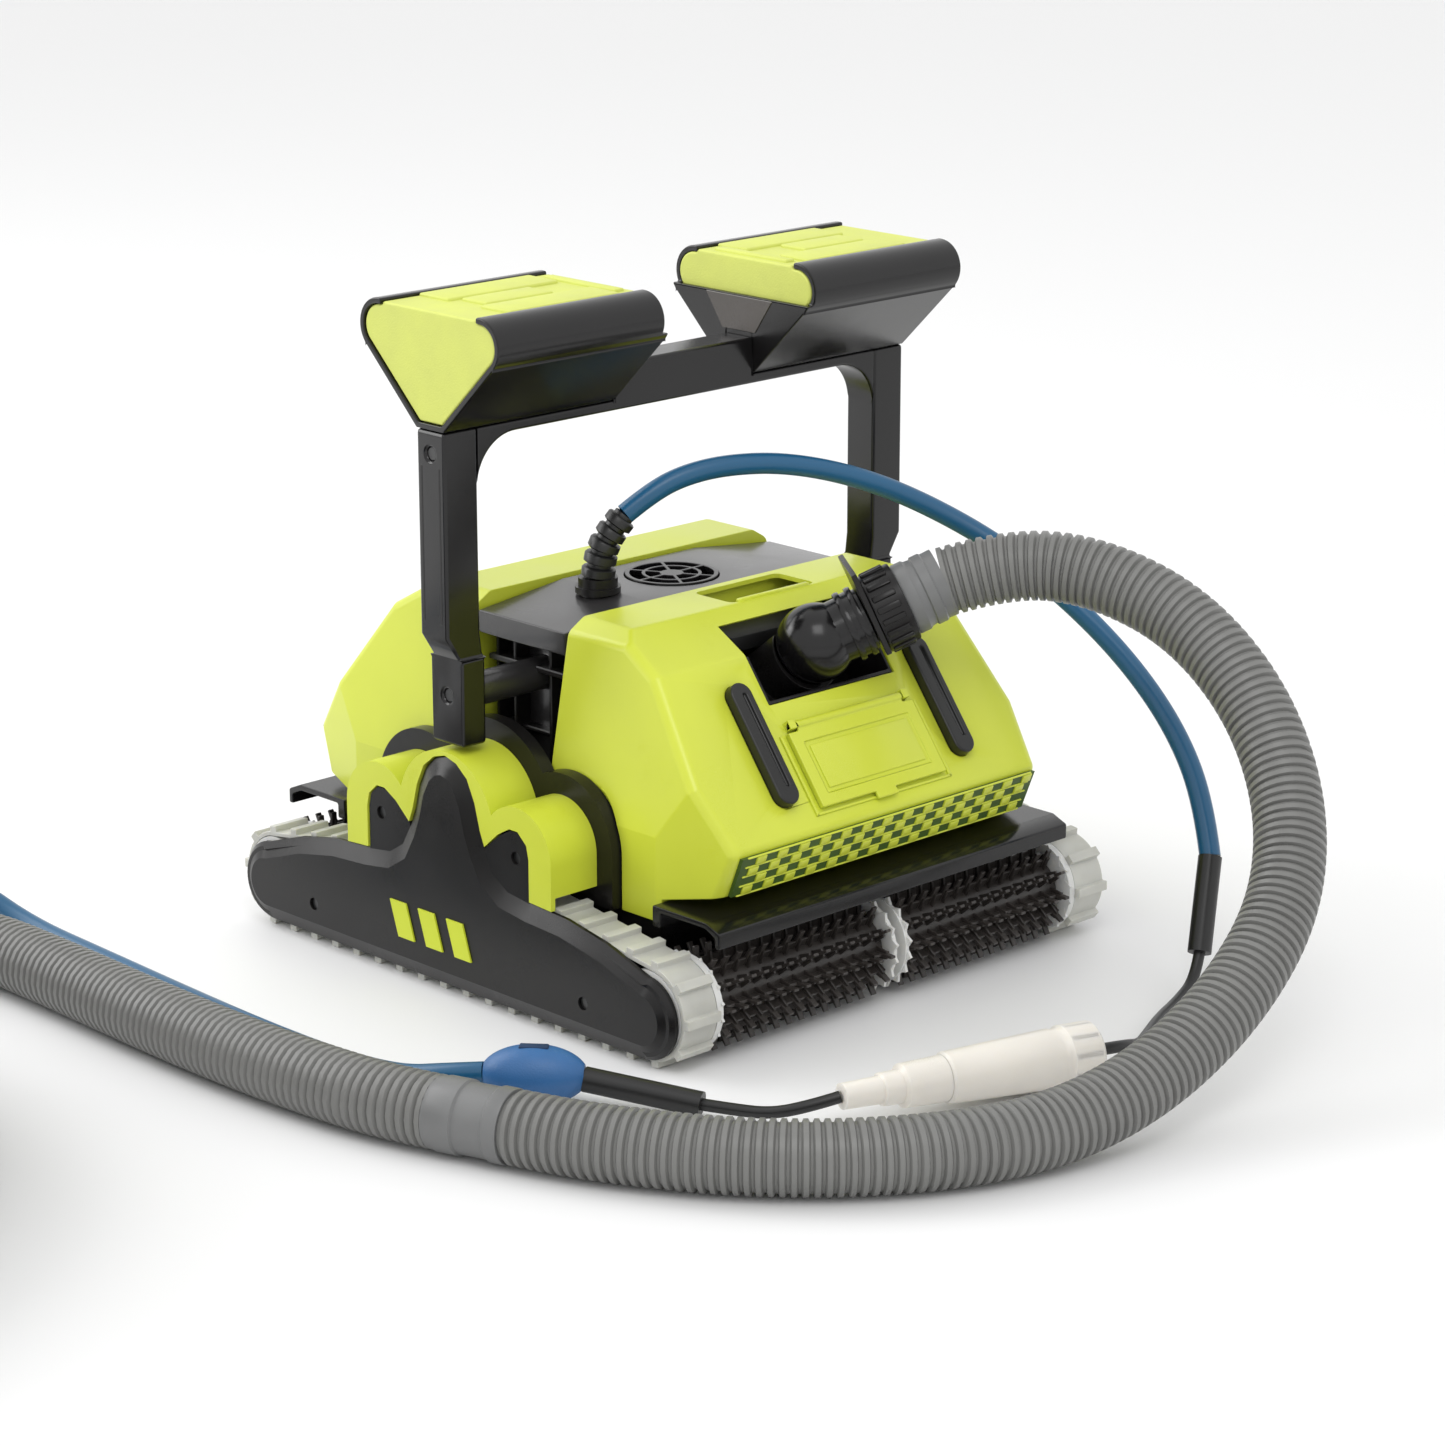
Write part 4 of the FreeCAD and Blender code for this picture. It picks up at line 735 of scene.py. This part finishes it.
# ---------------------------------------------------------------------------------------------
# Studio
# ---------------------------------------------------------------------------------------------
@dataclass
class Studio:
    """Camera, lights, world and floor."""

    azimuth: float = -44.11
    elevation: float = 16.40
    distance: float = 2.78369
    lens: float = 102.46
    target: tuple[float, float, float] = (0.04681, 0.0, 0.13278)

    def build(self) -> None:
        """Set up the whole studio."""
        self.camera()
        self.floor()
        self.world()
        self.area("key_light", (-1.1, -1.6, 2.7), 1.4, 20.0)
        self.area("back_light", (-0.9, 2.2, 2.3), 1.8, 26.0)
        self.area("side_light", (-1.7, 1.9, 1.15), 1.2, 17.0)

    def camera(self) -> None:
        """Place the camera at its azimuth, elevation and distance from its target."""
        turn, lift = math.radians(self.azimuth), math.radians(self.elevation)
        back = Vector((math.sin(turn) * math.cos(lift), -math.cos(turn) * math.cos(lift), math.sin(lift)))
        data = bpy.data.cameras.new("camera")
        data.lens = self.lens
        data.sensor_width = 36.0
        data.clip_end = 50.0
        camera = bpy.data.objects.new("camera", data)
        camera.location = Vector(self.target) + back * self.distance
        camera.rotation_euler = back.to_track_quat("Z", "Y").to_euler()
        bpy.context.scene.collection.objects.link(camera)
        bpy.context.scene.camera = camera

    def floor(self) -> None:
        """Lay a plain pale flat floor."""
        deselect()
        bpy.ops.mesh.primitive_plane_add(size=30.0, location=(0, 0, 0))
        plane = bpy.context.active_object
        plane.name = "studio_floor"
        material = bpy.data.materials.new("studio_floor")
        material.use_nodes = True
        shader = material.node_tree.nodes["Principled BSDF"]
        shader.inputs["Base Color"].default_value = (0.82, 0.82, 0.82, 1.0)
        shader.inputs["Roughness"].default_value = 0.55
        plane.data.materials.append(material)

    def world(self) -> None:
        """Light everything softly from a pale sky."""
        world = bpy.data.worlds.new("studio")
        world.use_nodes = True
        shader = world.node_tree.nodes["Background"]
        shader.inputs["Color"].default_value = (1.0, 1.0, 1.0, 1.0)
        shader.inputs["Strength"].default_value = 1.04
        bpy.context.scene.world = world
        bpy.context.scene.view_settings.view_transform = "Standard"

    def area(self, name: str, place: tuple[float, float, float], size: float, power: float) -> None:
        """Add one soft square light that faces the robot.

        Args:
            name: The light's name.
            place: Where it stands, in metres.
            size: Its side, in metres.
            power: Its power, in watts.
        """
        data = bpy.data.lights.new(name, "AREA")
        data.size = size
        data.energy = power
        lamp = bpy.data.objects.new(name, data)
        lamp.location = place
        lamp.rotation_euler = (Vector(place) - Vector((0, 0, 0.15))).to_track_quat("Z", "Y").to_euler()
        bpy.context.scene.collection.objects.link(lamp)


# ---------------------------------------------------------------------------------------------
# Running gear
# ---------------------------------------------------------------------------------------------
def shaped(piece: bpy.types.Object, low: float, high: float, scale: tuple[float, float, float]) -> bpy.types.Object:
    """Scale the points of a piece that lie between two heights, about their own middle.

    Args:
        piece: A mesh at the origin.
        low: Lowest height, in millimetres.
        high: Highest height, in millimetres.
        scale: Scale along X, Y and Z.

    Returns:
        The same piece.
    """
    pick(piece)
    bpy.ops.object.mode_set(mode="EDIT")
    bpy.ops.mesh.select_all(action="DESELECT")
    edit = bmesh.from_edit_mesh(piece.data)
    chosen = [v for v in edit.verts if low * MM <= v.co.z <= high * MM]
    for vert in chosen:
        vert.select = True
    edit.select_flush_mode()
    bmesh.update_edit_mesh(piece.data)
    middle = sum((v.co for v in chosen), Vector()) / len(chosen)
    bpy.ops.transform.resize(value=scale, center_override=middle)
    bpy.ops.object.mode_set(mode="OBJECT")
    return piece


@dataclass
class RunningGear:
    """Tracks, brush rollers with their rubber fins, and the spiked white discs at their ends."""

    axle_y: float = 184.0
    axle_z: float = 35.0
    rows: int = 12
    fins: int = 14
    core_bore: float = 14.2
    core_r: float = 20.0
    tip_r: float = 34.3
    spikes: int = 18
    spike_r: float = 32.5

    def build(self) -> None:
        """Build the tracks and the four brushes."""
        for side in ("left", "right"):
            track = dress(softened("track_" + side, "belt_" + side, 0.0006, 2), BELT)
            finish_piece(track, ROOT, "belt", "track_" + side)
            for end in ("front", "rear"):
                self.brush(side, end)

    def fin(self) -> bpy.types.Object:
        """One rubber fin with its cross rib, standing on +Z."""
        blade = block("fin", (-2.5, -1.3, self.core_r - 1), (2.5, 1.3, self.tip_r), 0.35, 1)
        shaped(blade, self.tip_r - 1, self.tip_r + 1, (0.82, 0.7, 1.0))
        rib = block("fin_rib", (-0.8, -4.2, self.core_r - 1), (0.8, 4.2, self.tip_r - 5.5), 0.3, 1)
        shaped(rib, self.tip_r - 7, self.tip_r, (1.0, 0.65, 1.0))
        return joined([blade, rib], "fin")

    def brush(self, side: str, end: str) -> None:
        """Build one brush: its sleeve, its rows of fins and its end discs.

        Args:
            side: "left" or "right".
            end: "front" or "rear".
        """
        node = f"brush_{end}_{side}"
        low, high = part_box(node)
        first, last = low[0] / MM, high[0] / MM
        axis_y = -self.axle_y if end == "front" else self.axle_y
        length = last - first
        bore, radius = self.core_bore, self.core_r
        profile = [(0, bore), (0, radius - 1), (1, radius), (length - 1, radius), (length, radius - 1), (length, bore),
                   (0, bore)]
        sleeve = turned(f"{node}_sleeve", profile, Vector((first, axis_y, self.axle_z)) * MM, Vector((1, 0, 0)))
        pitch = length / self.fins
        places = []
        blades = []
        for row in range(self.rows):
            turn = Matrix.Rotation(2 * math.pi * row / self.rows, 4, "X")
            for index in range(self.fins):
                spot = Vector((first + pitch * (index + 0.5), axis_y, self.axle_z)) * MM
                places.append(Matrix.Translation(spot) @ turn)
            blades.append(Matrix.Translation(Vector((0, axis_y, self.axle_z)) * MM) @ turn)
        fins = repeated(self.fin(), f"{node}_fins", places)
        blade = block("blade", (first + 0.5, -0.9, radius - 1), (last - 0.5, 0.9, radius + 6), 0.3, 1)
        ridges = repeated(blade, f"{node}_ridges", blades)
        whole = dress(joined([sleeve, fins, ridges], f"{node}_rubber"), BRUSH_RUBBER)
        body = f"{side}_{end}_roller"
        finish_piece(whole, body, "brush_rubber", node)
        discs = [self.spiked_disc(f"{node}_disc", place, axis_y) for place in (first - 2.2, last + 0.2)]
        disc = dress(joined(discs, f"{node}_discs"), WHITE)
        finish_piece(disc, body, "white_plastic")

    def spiked_disc(self, name: str, place: float, axis_y: float) -> bpy.types.Object:
        """Make one thin white disc with points round its rim.

        Args:
            name: The disc's name.
            place: Its lower face along X, in millimetres.
            axis_y: The roller's axis.

        Returns:
            The disc.
        """
        deselect()
        bpy.ops.mesh.primitive_circle_add(vertices=2 * self.spikes, radius=self.spike_r * MM, fill_type="NGON")
        disc = bpy.context.active_object
        disc.name = name
        bpy.ops.object.mode_set(mode="EDIT")
        bpy.ops.mesh.select_all(action="DESELECT")
        edit = bmesh.from_edit_mesh(disc.data)
        edit.verts.ensure_lookup_table()
        for index, vert in enumerate(edit.verts):
            vert.select = index % 2 == 0
        edit.select_flush_mode()
        bmesh.update_edit_mesh(disc.data)
        bpy.ops.transform.resize(value=(0.86, 0.86, 1.0), center_override=(0, 0, 0))
        bpy.ops.mesh.select_all(action="SELECT")
        bpy.ops.mesh.extrude_region_move(TRANSFORM_OT_translate={"value": (0, 0, 2.0 * MM)})
        bpy.ops.mesh.select_all(action="SELECT")
        bpy.ops.mesh.normals_make_consistent(inside=False)
        bpy.ops.object.mode_set(mode="OBJECT")
        disc.rotation_euler = (0, math.pi / 2, 0)
        disc.location = Vector((place, axis_y, self.axle_z)) * MM
        return settle(disc)


# ---------------------------------------------------------------------------------------------
# Body
# ---------------------------------------------------------------------------------------------
@dataclass
class Body:
    """Covers, side plates, hatch, grille strips and the black middle casing."""

    face_y: float = -203.0
    face_z: float = 127.0
    face_angle: float = math.radians(52.7)
    strip_half: float = 134.0
    strip_low: tuple[float, float] = (-194.0, 98.0)
    strip_high: tuple[float, float] = (-205.0, 125.0)
    pocket: tuple[float, float, float, float] = (-30.0, 46.0, -88.0, -52.0)
    plate_face: float = 203.0
    plate_chamfer: float = 5.5
    plate_widen: float = 5.0
    plate_merge: float = 0.7

    def build(self) -> None:
        """Build every cover and panel."""
        self.covers()
        self.hatch()
        self.strips()
        self.casing()
        pads = dress(softened("bumper_pads", "pads", 0.0014, 3), PAD_RUBBER)
        finish_piece(pads, ROOT, "pad_rubber", "bumper_pads")
        guards = dress(softened("brush_guards", "guards", 0.0012, 2), BLACK_GLOSS)
        finish_piece(guards, ROOT, "black_plastic", "brush_guards")
        for side, name in ((-1, "left"), (1, "right")):
            self.plate(side, name)

    def plate(self, side: int, name: str) -> None:
        """Side plate whose outer chamfer is made broad and flat, without growing the plate.

        Args:
            side: -1 for the left, 1 for the right.
            name: left or right, as in the node's name.
        """
        plate = copied("side_plate_" + name, "plate_" + name)
        pick(plate)
        bpy.ops.object.mode_set(mode="EDIT")
        bpy.ops.mesh.select_all(action="DESELECT")
        bpy.ops.object.mode_set(mode="OBJECT")
        outer = (self.plate_face - 0.05) * MM
        slanted = set()
        for face in plate.data.polygons:
            face.select = face.normal.x * side > 0.999 and face.center.x * side > outer
            if 0.3 < face.normal.x * side < 0.9:
                slanted.update(face.vertices)
        rim = [i for i in slanted if plate.data.vertices[i].co.x * side > outer]
        old_rim = [plate.data.vertices[i].co.copy() for i in rim]
        bpy.ops.object.mode_set(mode="EDIT")
        bpy.ops.mesh.inset(thickness=self.plate_widen * MM, use_even_offset=True)
        bpy.ops.mesh.remove_doubles(threshold=self.plate_merge * MM)
        bpy.ops.mesh.select_all(action="DESELECT")
        bpy.ops.object.mode_set(mode="OBJECT")
        depth = self.plate_chamfer * self.plate_widen / (self.plate_chamfer + self.plate_widen)
        keys = {tuple(round(c, 6) for c in place) for place in old_rim}
        for vertex in plate.data.vertices:
            vertex.select = tuple(round(c, 6) for c in vertex.co) in keys
        bpy.ops.object.mode_set(mode="EDIT")
        bpy.ops.transform.translate(value=(-side * depth * MM, 0, 0))
        bpy.ops.object.mode_set(mode="OBJECT")
        dress(flattened(smooth(plate, 20.0)), BLACK)
        finish_piece(plate, ROOT, "black_plastic", "side_plate_" + name)

    def covers(self) -> None:
        """Cut the grab pocket into the front cover and line it with a dark tray."""
        cover = softened("front_cover", "cover_front", 0.0008, 2)
        x0, x1, y0, y1 = self.pocket
        cutter = block("cutter", (x0, y0, 238), (x1, y1, 262), 5.0, 4)
        apply_modifier(cover, "BOOLEAN", operation="DIFFERENCE", object=cutter, solver="EXACT")
        bpy.data.objects.remove(cutter)
        dress(smooth(cover), LIME)
        finish_piece(cover, ROOT, "lime_shell", "front_cover")
        floor = block("pocket_floor", (x0 - 2, y0 - 2, 214), (x1 + 2, y1 + 2, 224), 1.0)
        finish_piece(dress(floor, BLACK_MATT), ROOT, "black_plastic")
        lip = block("pocket_lip", (x0 + 6, y0 - 1.5, 244.5), (x1 - 6, y0 + 3, 248.6), 1.2)
        finish_piece(dress(lip, LIME), ROOT, "lime_shell")
        back = dress(softened("rear_cover", "cover_rear", 0.0008, 2), LIME)
        finish_piece(back, ROOT, "lime_shell", "rear_cover")

    def face(self, shift: float = 0.0) -> Matrix:
        """Matrix from face coordinates to the robot's: across, up the slope, outwards."""
        place = Matrix.Translation((0, self.face_y * MM, self.face_z * MM))
        return place @ Matrix.Rotation(self.face_angle, 4, "X") @ Matrix.Translation((0, 0, shift * MM))

    def hatch(self) -> None:
        """Hatch lid with an inner raised panel and a thin frame."""
        lid = softened("hatch", "hatch_lid", 0.0009, 3)
        panel = block("hatch_panel", (-44, 25, 3.0), (44, 55, 4.1), 0.8, 3)
        panel.data.transform(self.face())
        whole = dress(joined([lid, panel], "hatch_lid"), LIME)
        finish_piece(whole, "hatch_body", "lime_shell", "hatch")
        rail = block("hatch_rail", (-62, 10.2, -0.4), (62, 12.0, 1.4), 0.5)
        posts = [block("hatch_rail", (x - 1.3, 10.2, -0.4), (x + 1.3, 66, 1.4), 0.5) for x in (-60.6, 60.6)]
        frame_piece = joined([rail] + posts, "hatch_surround")
        frame_piece.data.transform(self.face())
        finish_piece(dress(frame_piece, LIME), ROOT, "lime_shell")

    def strips(self) -> None:
        """Chequered grille: dark strips with raised lime tiles and two thin rails."""
        dress_node("grille_strips", LIME_DARK)
        run = Vector((0, self.strip_high[0] - self.strip_low[0], self.strip_high[1] - self.strip_low[1]))
        tilt = math.atan2(run.z, run.y)
        place = Matrix.Translation(Vector((0, self.strip_low[0], self.strip_low[1])) * MM)
        frame_matrix = place @ Matrix.Rotation(tilt, 4, "X")
        width, rows = 9.4, 4
        height = run.length / rows
        tiles = []
        for row in range(rows):
            reach = self.strip_half - 6 + 1.5 * row
            columns = int(2 * reach / width)
            for column in range(columns):
                if (row + column) % 2:
                    continue
                x = (column + 0.5 - columns / 2) * width
                tiles.append(frame_matrix @ Matrix.Translation(Vector((x, (row + 0.5) * height, 0)) * MM))
        tile = block("tile", (-width / 2 + 0.5, -height / 2 + 0.7, -1.0), (width / 2 - 0.5, height / 2 - 0.7, 1.1), 0.6)
        front = repeated(tile, "grille_tiles", tiles)
        rails = []
        for row in range(rows + 1):
            low = (-self.strip_half + 4, row * height - 0.6, -0.6)
            high = (self.strip_half - 4, row * height + 0.6, 0.8)
            rail = block("grille_rail", low, high, 0.4, 1)
            rail.data.transform(frame_matrix)
            rails.append(rail)
        front = joined([front] + rails, "grille_tiles")
        back = bpy.data.objects.new("grille_tiles_rear", front.data.copy())
        bpy.context.scene.collection.objects.link(back)
        back.data.transform(Matrix.Rotation(math.pi, 4, "Z"))
        for piece in (front, back):
            finish_piece(dress(piece, LIME), ROOT, "lime_shell")

    def casing(self) -> None:
        """Middle casing with ribs in both side recesses and a seam round the cap."""
        casing = dress(softened("centre_housing", "casing", 0.0014, 2), CASING)
        finish_piece(casing, ROOT, "black_gloss", "centre_housing")
        ribs = []
        for side in (-1, 1):
            for y in (-34, -17, 17, 34):
                x0, x1 = sorted((side * 111, side * 124))
                ribs.append(block("rib", (x0, y - 1.3, 100), (x1, y + 1.3, 219), 0.6, 1))
            x0, x1 = sorted((side * 111, side * 128))
            ribs.append(block("rib", (x0, -38, 204), (x1, 38, 208), 0.8, 1))
            x0, x1 = sorted((side * 111, side * 120))
            ribs.append(block("rib", (x0, -36, 160), (x1, 36, 163), 0.8, 1))
        whole = dress(joined(ribs, "recess_ribs"), BLACK)
        finish_piece(whole, ROOT, "black_gloss")
        grille = dress(softened("outlet_grille", "outlet", 0.0006, 2), BLACK_GLOSS)
        finish_piece(grille, ROOT, "black_gloss", "outlet_grille")


# ---------------------------------------------------------------------------------------------
# Handle
# ---------------------------------------------------------------------------------------------
@dataclass
class Handle:
    """Posts, bar, float housings and the lime floats."""

    outer_x: float = 206.0
    inner_x: float = 62.0
    top_z: float = 448.0

    def build(self) -> None:
        """Build the whole handle."""
        for side in ("left", "right"):
            post = dress(softened("handle_post_" + side, "post_" + side, 0.0024, 3), BLACK_GLOSS)
            finish_piece(post, ROOT, "black_gloss", "handle_post_" + side)
            shell = dress(softened("float_housing_" + side, "float_shell_" + side, 0.0012, 2), BLACK_GLOSS)
            finish_piece(shell, ROOT, "black_gloss", "float_housing_" + side)
        bar = dress(softened("crossbar", "handle_bar", 0.0012, 2), BLACK_GLOSS)
        finish_piece(bar, ROOT, "black_gloss", "crossbar")
        floats = dress(softened("float_blocks", "floats", 0.0016, 3), FOAM)
        finish_piece(floats, ROOT, "foam_lime", "float_blocks")
        self.float_tops()
        self.post_seams()

    def float_tops(self) -> None:
        """Raised panels on the floats, with a hollow between them at the outer end."""
        panels = []
        for side in (-1, 1):
            for y0, y1, x0, x1 in ((-43.5, -15, 84, 176), (15, 43.5, 84, 176), (-12, 12, 112, 168), (-34, 34, 72, 80)):
                low_x, high_x = sorted((side * x0, side * x1))
                panels.append(block("panel", (low_x, y0, self.top_z - 2), (high_x, y1, self.top_z + 1.9), 1.4, 3))
        whole = dress(joined(panels, "float_panels"), FOAM)
        finish_piece(whole, ROOT, "foam_lime")

    def post_seams(self) -> None:
        """Thin ridges along the posts and a smoked facet on each float housing's inner end."""
        ridges = []
        for side in (-1, 1):
            for y in (-8.4, 8.4):
                x0, x1 = sorted((side * (self.outer_x - 0.4), side * (self.outer_x + 0.17)))
                ridges.append(block("ridge", (x0, y - 0.8, 250), (x1, y + 0.8, 350), 0.15, 1))
        whole = dress(joined(ridges, "post_ridges"), BLACK)
        finish_piece(whole, ROOT, "black_gloss")
        facets = []
        for side in (-1, 1):
            x0, x1 = sorted((side * (self.inner_x - 0.6), side * (self.inner_x + 1)))
            facet = block("facet", (x0, -31, 400), (x1, 31, 423), 0.4, 1)
            shaped(facet, 399, 401, (1.0, 0.5, 1.0))
            facets.append(facet)
        whole = dress(joined(facets, "float_facets"), SMOKE)
        finish_piece(whole, ROOT, "black_gloss")


# ---------------------------------------------------------------------------------------------
# Hose and cable fittings
# ---------------------------------------------------------------------------------------------
@dataclass
class Fittings:
    """Ball elbow, lock plate, knurled collar, cuffs, strain relief, swivel and ball float."""

    ball: tuple[float, float, float] = (4.0, -130.3, 222.5)
    elbow: tuple[float, float, float] = (0.733, -0.541, 0.414)
    collar_at: float = 41.0
    collar_length: float = 22.0
    collar_r: float = 26.5
    cuff_at: float = 63.0
    cuff_length: float = 28.0
    relief: Route = field(default_factory=lambda: [(-66, 0, 255), (-65, -1, 269), (-61, -5, 283), (-52, -11, 296)])
    swivel: Route = field(default_factory=lambda: [(-16, -391, 20), (-182, -336, 20)])
    float_ends: Route = field(default_factory=lambda: [(-266, -204, 19), (-306, -158, 19)])

    def along(self, distance: float) -> Vector:
        """Point on the elbow's axis, in metres."""
        return (Vector(self.ball) + Vector(self.elbow).normalized() * distance) * MM

    def build(self) -> list[bpy.types.Object]:
        """Build every fitting.

        Returns:
            The two halves of the cable's inline swivel, which the thin leads end in.
        """
        self.joint()
        self.strain_relief()
        self.ball_float()
        self.cuffs()
        return self.inline_swivel()

    def joint(self) -> None:
        """Socket, elbow, lock plate and the knurled collar."""
        for node, name, finish in (("hose_elbow", "elbow", BLACK_GLOSS), ("hose_socket", "socket", BLACK)):
            piece = dress(softened(node, name, 0.0008, 2), finish)
            finish_piece(piece, ROOT, "black_plastic", node)
        plate = dress(softened("lock_plate", "lock", 0.0006, 2), BLACK)
        finish_piece(plate, "lock_body", "black_plastic", "lock_plate")
        collar = softened("hose_collar", "collar", 0.0012, 2)
        axis = Vector(self.elbow).normalized()
        turn = axis.to_track_quat("Z", "Y").to_matrix().to_4x4()
        rib = block("knurl", (-2.2, self.collar_r - 1.0, 2.0), (2.2, self.collar_r + 1.3, self.collar_length - 4), 1.0)
        places = []
        for index in range(20):
            places.append(Matrix.Translation(self.along(self.collar_at)) @ turn @ Matrix.Rotation(index * math.pi / 10, 4, "Z"))
        knurls = repeated(rib, "knurls", places)
        whole = dress(joined([collar, knurls], "collar"), BLACK)
        finish_piece(whole, ROOT, "black_plastic", "hose_collar")
        start = self.along(22.0)
        rings = turned("elbow_rings", [(0, 20), (0, 23.5), (2, 24), (4, 23.5), (4, 22), (8, 22), (8, 23.5), (10, 24),
                                       (12, 23.5), (12, 20), (0, 20)], start, axis)
        finish_piece(dress(rings, BLACK_GLOSS), ROOT, "black_plastic")

    def cuffs(self) -> None:
        """Stepped grey cuffs at the collar, between the hose's lengths and at its end."""
        axis = Vector(self.elbow)
        length = self.cuff_length
        parts = [turned("cuff", [(0, 19), (0, 23.4), (1.5, 24), (8, 24), (9.5, 22.8), (13, 22.4), (14, 23.6), (20, 23.6),
                                 (21, 22.6), (length, 22.8), (length, 19), (0, 19)], self.along(self.cuff_at), axis)]
        a, b = Vector((-357, -243, 23)), Vector((-373, -195, 23))
        span = (b - a).length
        parts.append(turned("cuff", [(0, 19), (0, 22.2), (1, 22.9), (9, 22.9), (10.5, 21.8), (30, 21.6), (31, 22.9),
                                     (span - 5, 22.9), (span - 3, 22.2), (span, 22.2), (span, 19), (0, 19)],
                            a * MM, b - a))
        end = Vector((-762, 353, 159)) * MM
        parts.append(turned("cuff", [(0, 19), (0, 23.3), (1.5, 24), (16, 24), (18, 22.6), (60, 22), (61, 23.4), (78, 23.4),
                                     (80, 22.6), (80, 19), (0, 19)], end, Vector((-1, 0, 0))))
        whole = dress(joined(parts, "cuffs"), CUFF)
        finish_piece(whole, ROOT, "hose_grey", "hose_cuffs")

    def strain_relief(self) -> None:
        """Stack of fat rubber rings round the cable where it leaves the gland."""
        line = route_curve("relief_line", self.relief)
        points = curve_points(line)
        bpy.data.objects.remove(line)
        profile = [(0.0, 0.0096), (0.08, 0.0112), (0.62, 0.0112), (0.72, 0.0100), (0.74, 0.0078), (0.97, 0.0078)]
        piece = dress(ribbed_tube("relief", points, profile, 0.0088, 32, 0.86), PAD_RUBBER)
        finish_piece(piece, ROOT, "pad_rubber", "strain_relief")

    def inline_swivel(self) -> list[bpy.types.Object]:
        """White swivel in the cable's middle: a ribbed body and the tail that turns in it."""
        a, b = (Vector(p) * MM for p in self.swivel)
        profile = [(0, 0), (0, 12), (2, 17), (4, 19.3), (24, 19.5), (26, 18), (30, 17.6), (32, 18.6), (104, 16.0),
                   (105.8, 14.6), (105.8, 0)]
        body = turned("swivel_body", profile, a, b - a, 40)
        profile = [(106.1, 0), (106.1, 14.4), (134, 13.6), (136, 10.4), (148, 10.2), (149, 8.6), (174, 8.0),
                   (174.5, 0)]
        tail = turned("swivel_tail", profile, a, b - a, 40)
        axis = (b - a).to_track_quat("Z", "Y").to_matrix().to_4x4()
        rib = block("swivel_rib", (-1.4, 17.0, 5), (1.4, 19.4, 23), 0.5)
        places = [Matrix.Translation(a) @ axis @ Matrix.Rotation(i * math.pi / 5, 4, "Z") for i in range(10)]
        body = joined([body, repeated(rib, "swivel_ribs", places)], "swivel_body")
        return [finish_piece(dress(part, SWIVEL_WHITE), ROOT, "swivel_white", "cable_swivel") for part in (body, tail)]

    def ball_float(self) -> None:
        """Blue ball float with a raised band, and a dark blue block painted as the shade inside its slot."""
        dress_node("cable_float", FLOAT_BLUE)
        a, b = (Vector(p) * MM for p in self.float_ends)
        turn = (b - a).to_track_quat("Z", "Y").to_matrix().to_4x4()
        half = (b - a).length / MM / 2
        # The slot is not cut: a dark blue block on the float's top is painted shade for its hollow.
        slot = block("float_slot", (-3.5, 16.3, half - 9), (3.5, 18.9, half + 9), 1.0)
        up = Matrix.Rotation(math.atan2((turn.inverted() @ Vector((0, 0, 1)))[1], (turn.inverted() @ Vector((0, 0, 1)))[0])
                             - math.pi / 2, 4, "Z")
        slot.data.transform(Matrix.Translation(a) @ turn @ up)
        finish_piece(dress(slot, SLOT_SHADE), ROOT, "float_blue")


# ---------------------------------------------------------------------------------------------
# CAD nodes that stay as they are
# ---------------------------------------------------------------------------------------------
PLAIN_NODES: dict[str, Finish] = {
    "base_tray": BLACK, "bottom_plate": BLACK, "inlet_flap_front": BLACK, "inlet_flap_rear": BLACK,
    "hinge_pins": STEEL, "axle_pins": STEEL, "screws": SCREW,
    "roller_brackets": BLACK_MATT,
    "suction_duct": BLACK_MATT, "drive_motors": BLACK_MATT, "pump_motor": BLACK_MATT,
    "drive_pulley_left": BLACK, "drive_pulley_right": BLACK, "impeller": BLACK, "cable_gland": BLACK,
    "cable_sleeves": LEAD, "cable_plug": BLACK, "side_badges": BADGE, "side_frames": BLACK,
    "side_arch_left": LIME, "side_arch_right": LIME,
    "roller_core_front_left": WHITE, "roller_core_front_right": WHITE, "roller_core_rear_left": WHITE,
    "roller_core_rear_right": WHITE,
}


def dress_plain_nodes() -> None:
    """Put a finish on every CAD node."""
    for node, finish in PLAIN_NODES.items():
        dress_node(node, finish)


def main() -> None:
    """Build every class in order."""
    logging.basicConfig(level=logging.INFO, format="%(message)s")
    deselect()
    Studio().build()
    swivel = Fittings().build()
    Hose().build()
    Cable().build(swivel)
    RunningGear().build()
    Body().build()
    Handle().build()
    dress_plain_nodes()


if __name__ == "__main__":
    main()
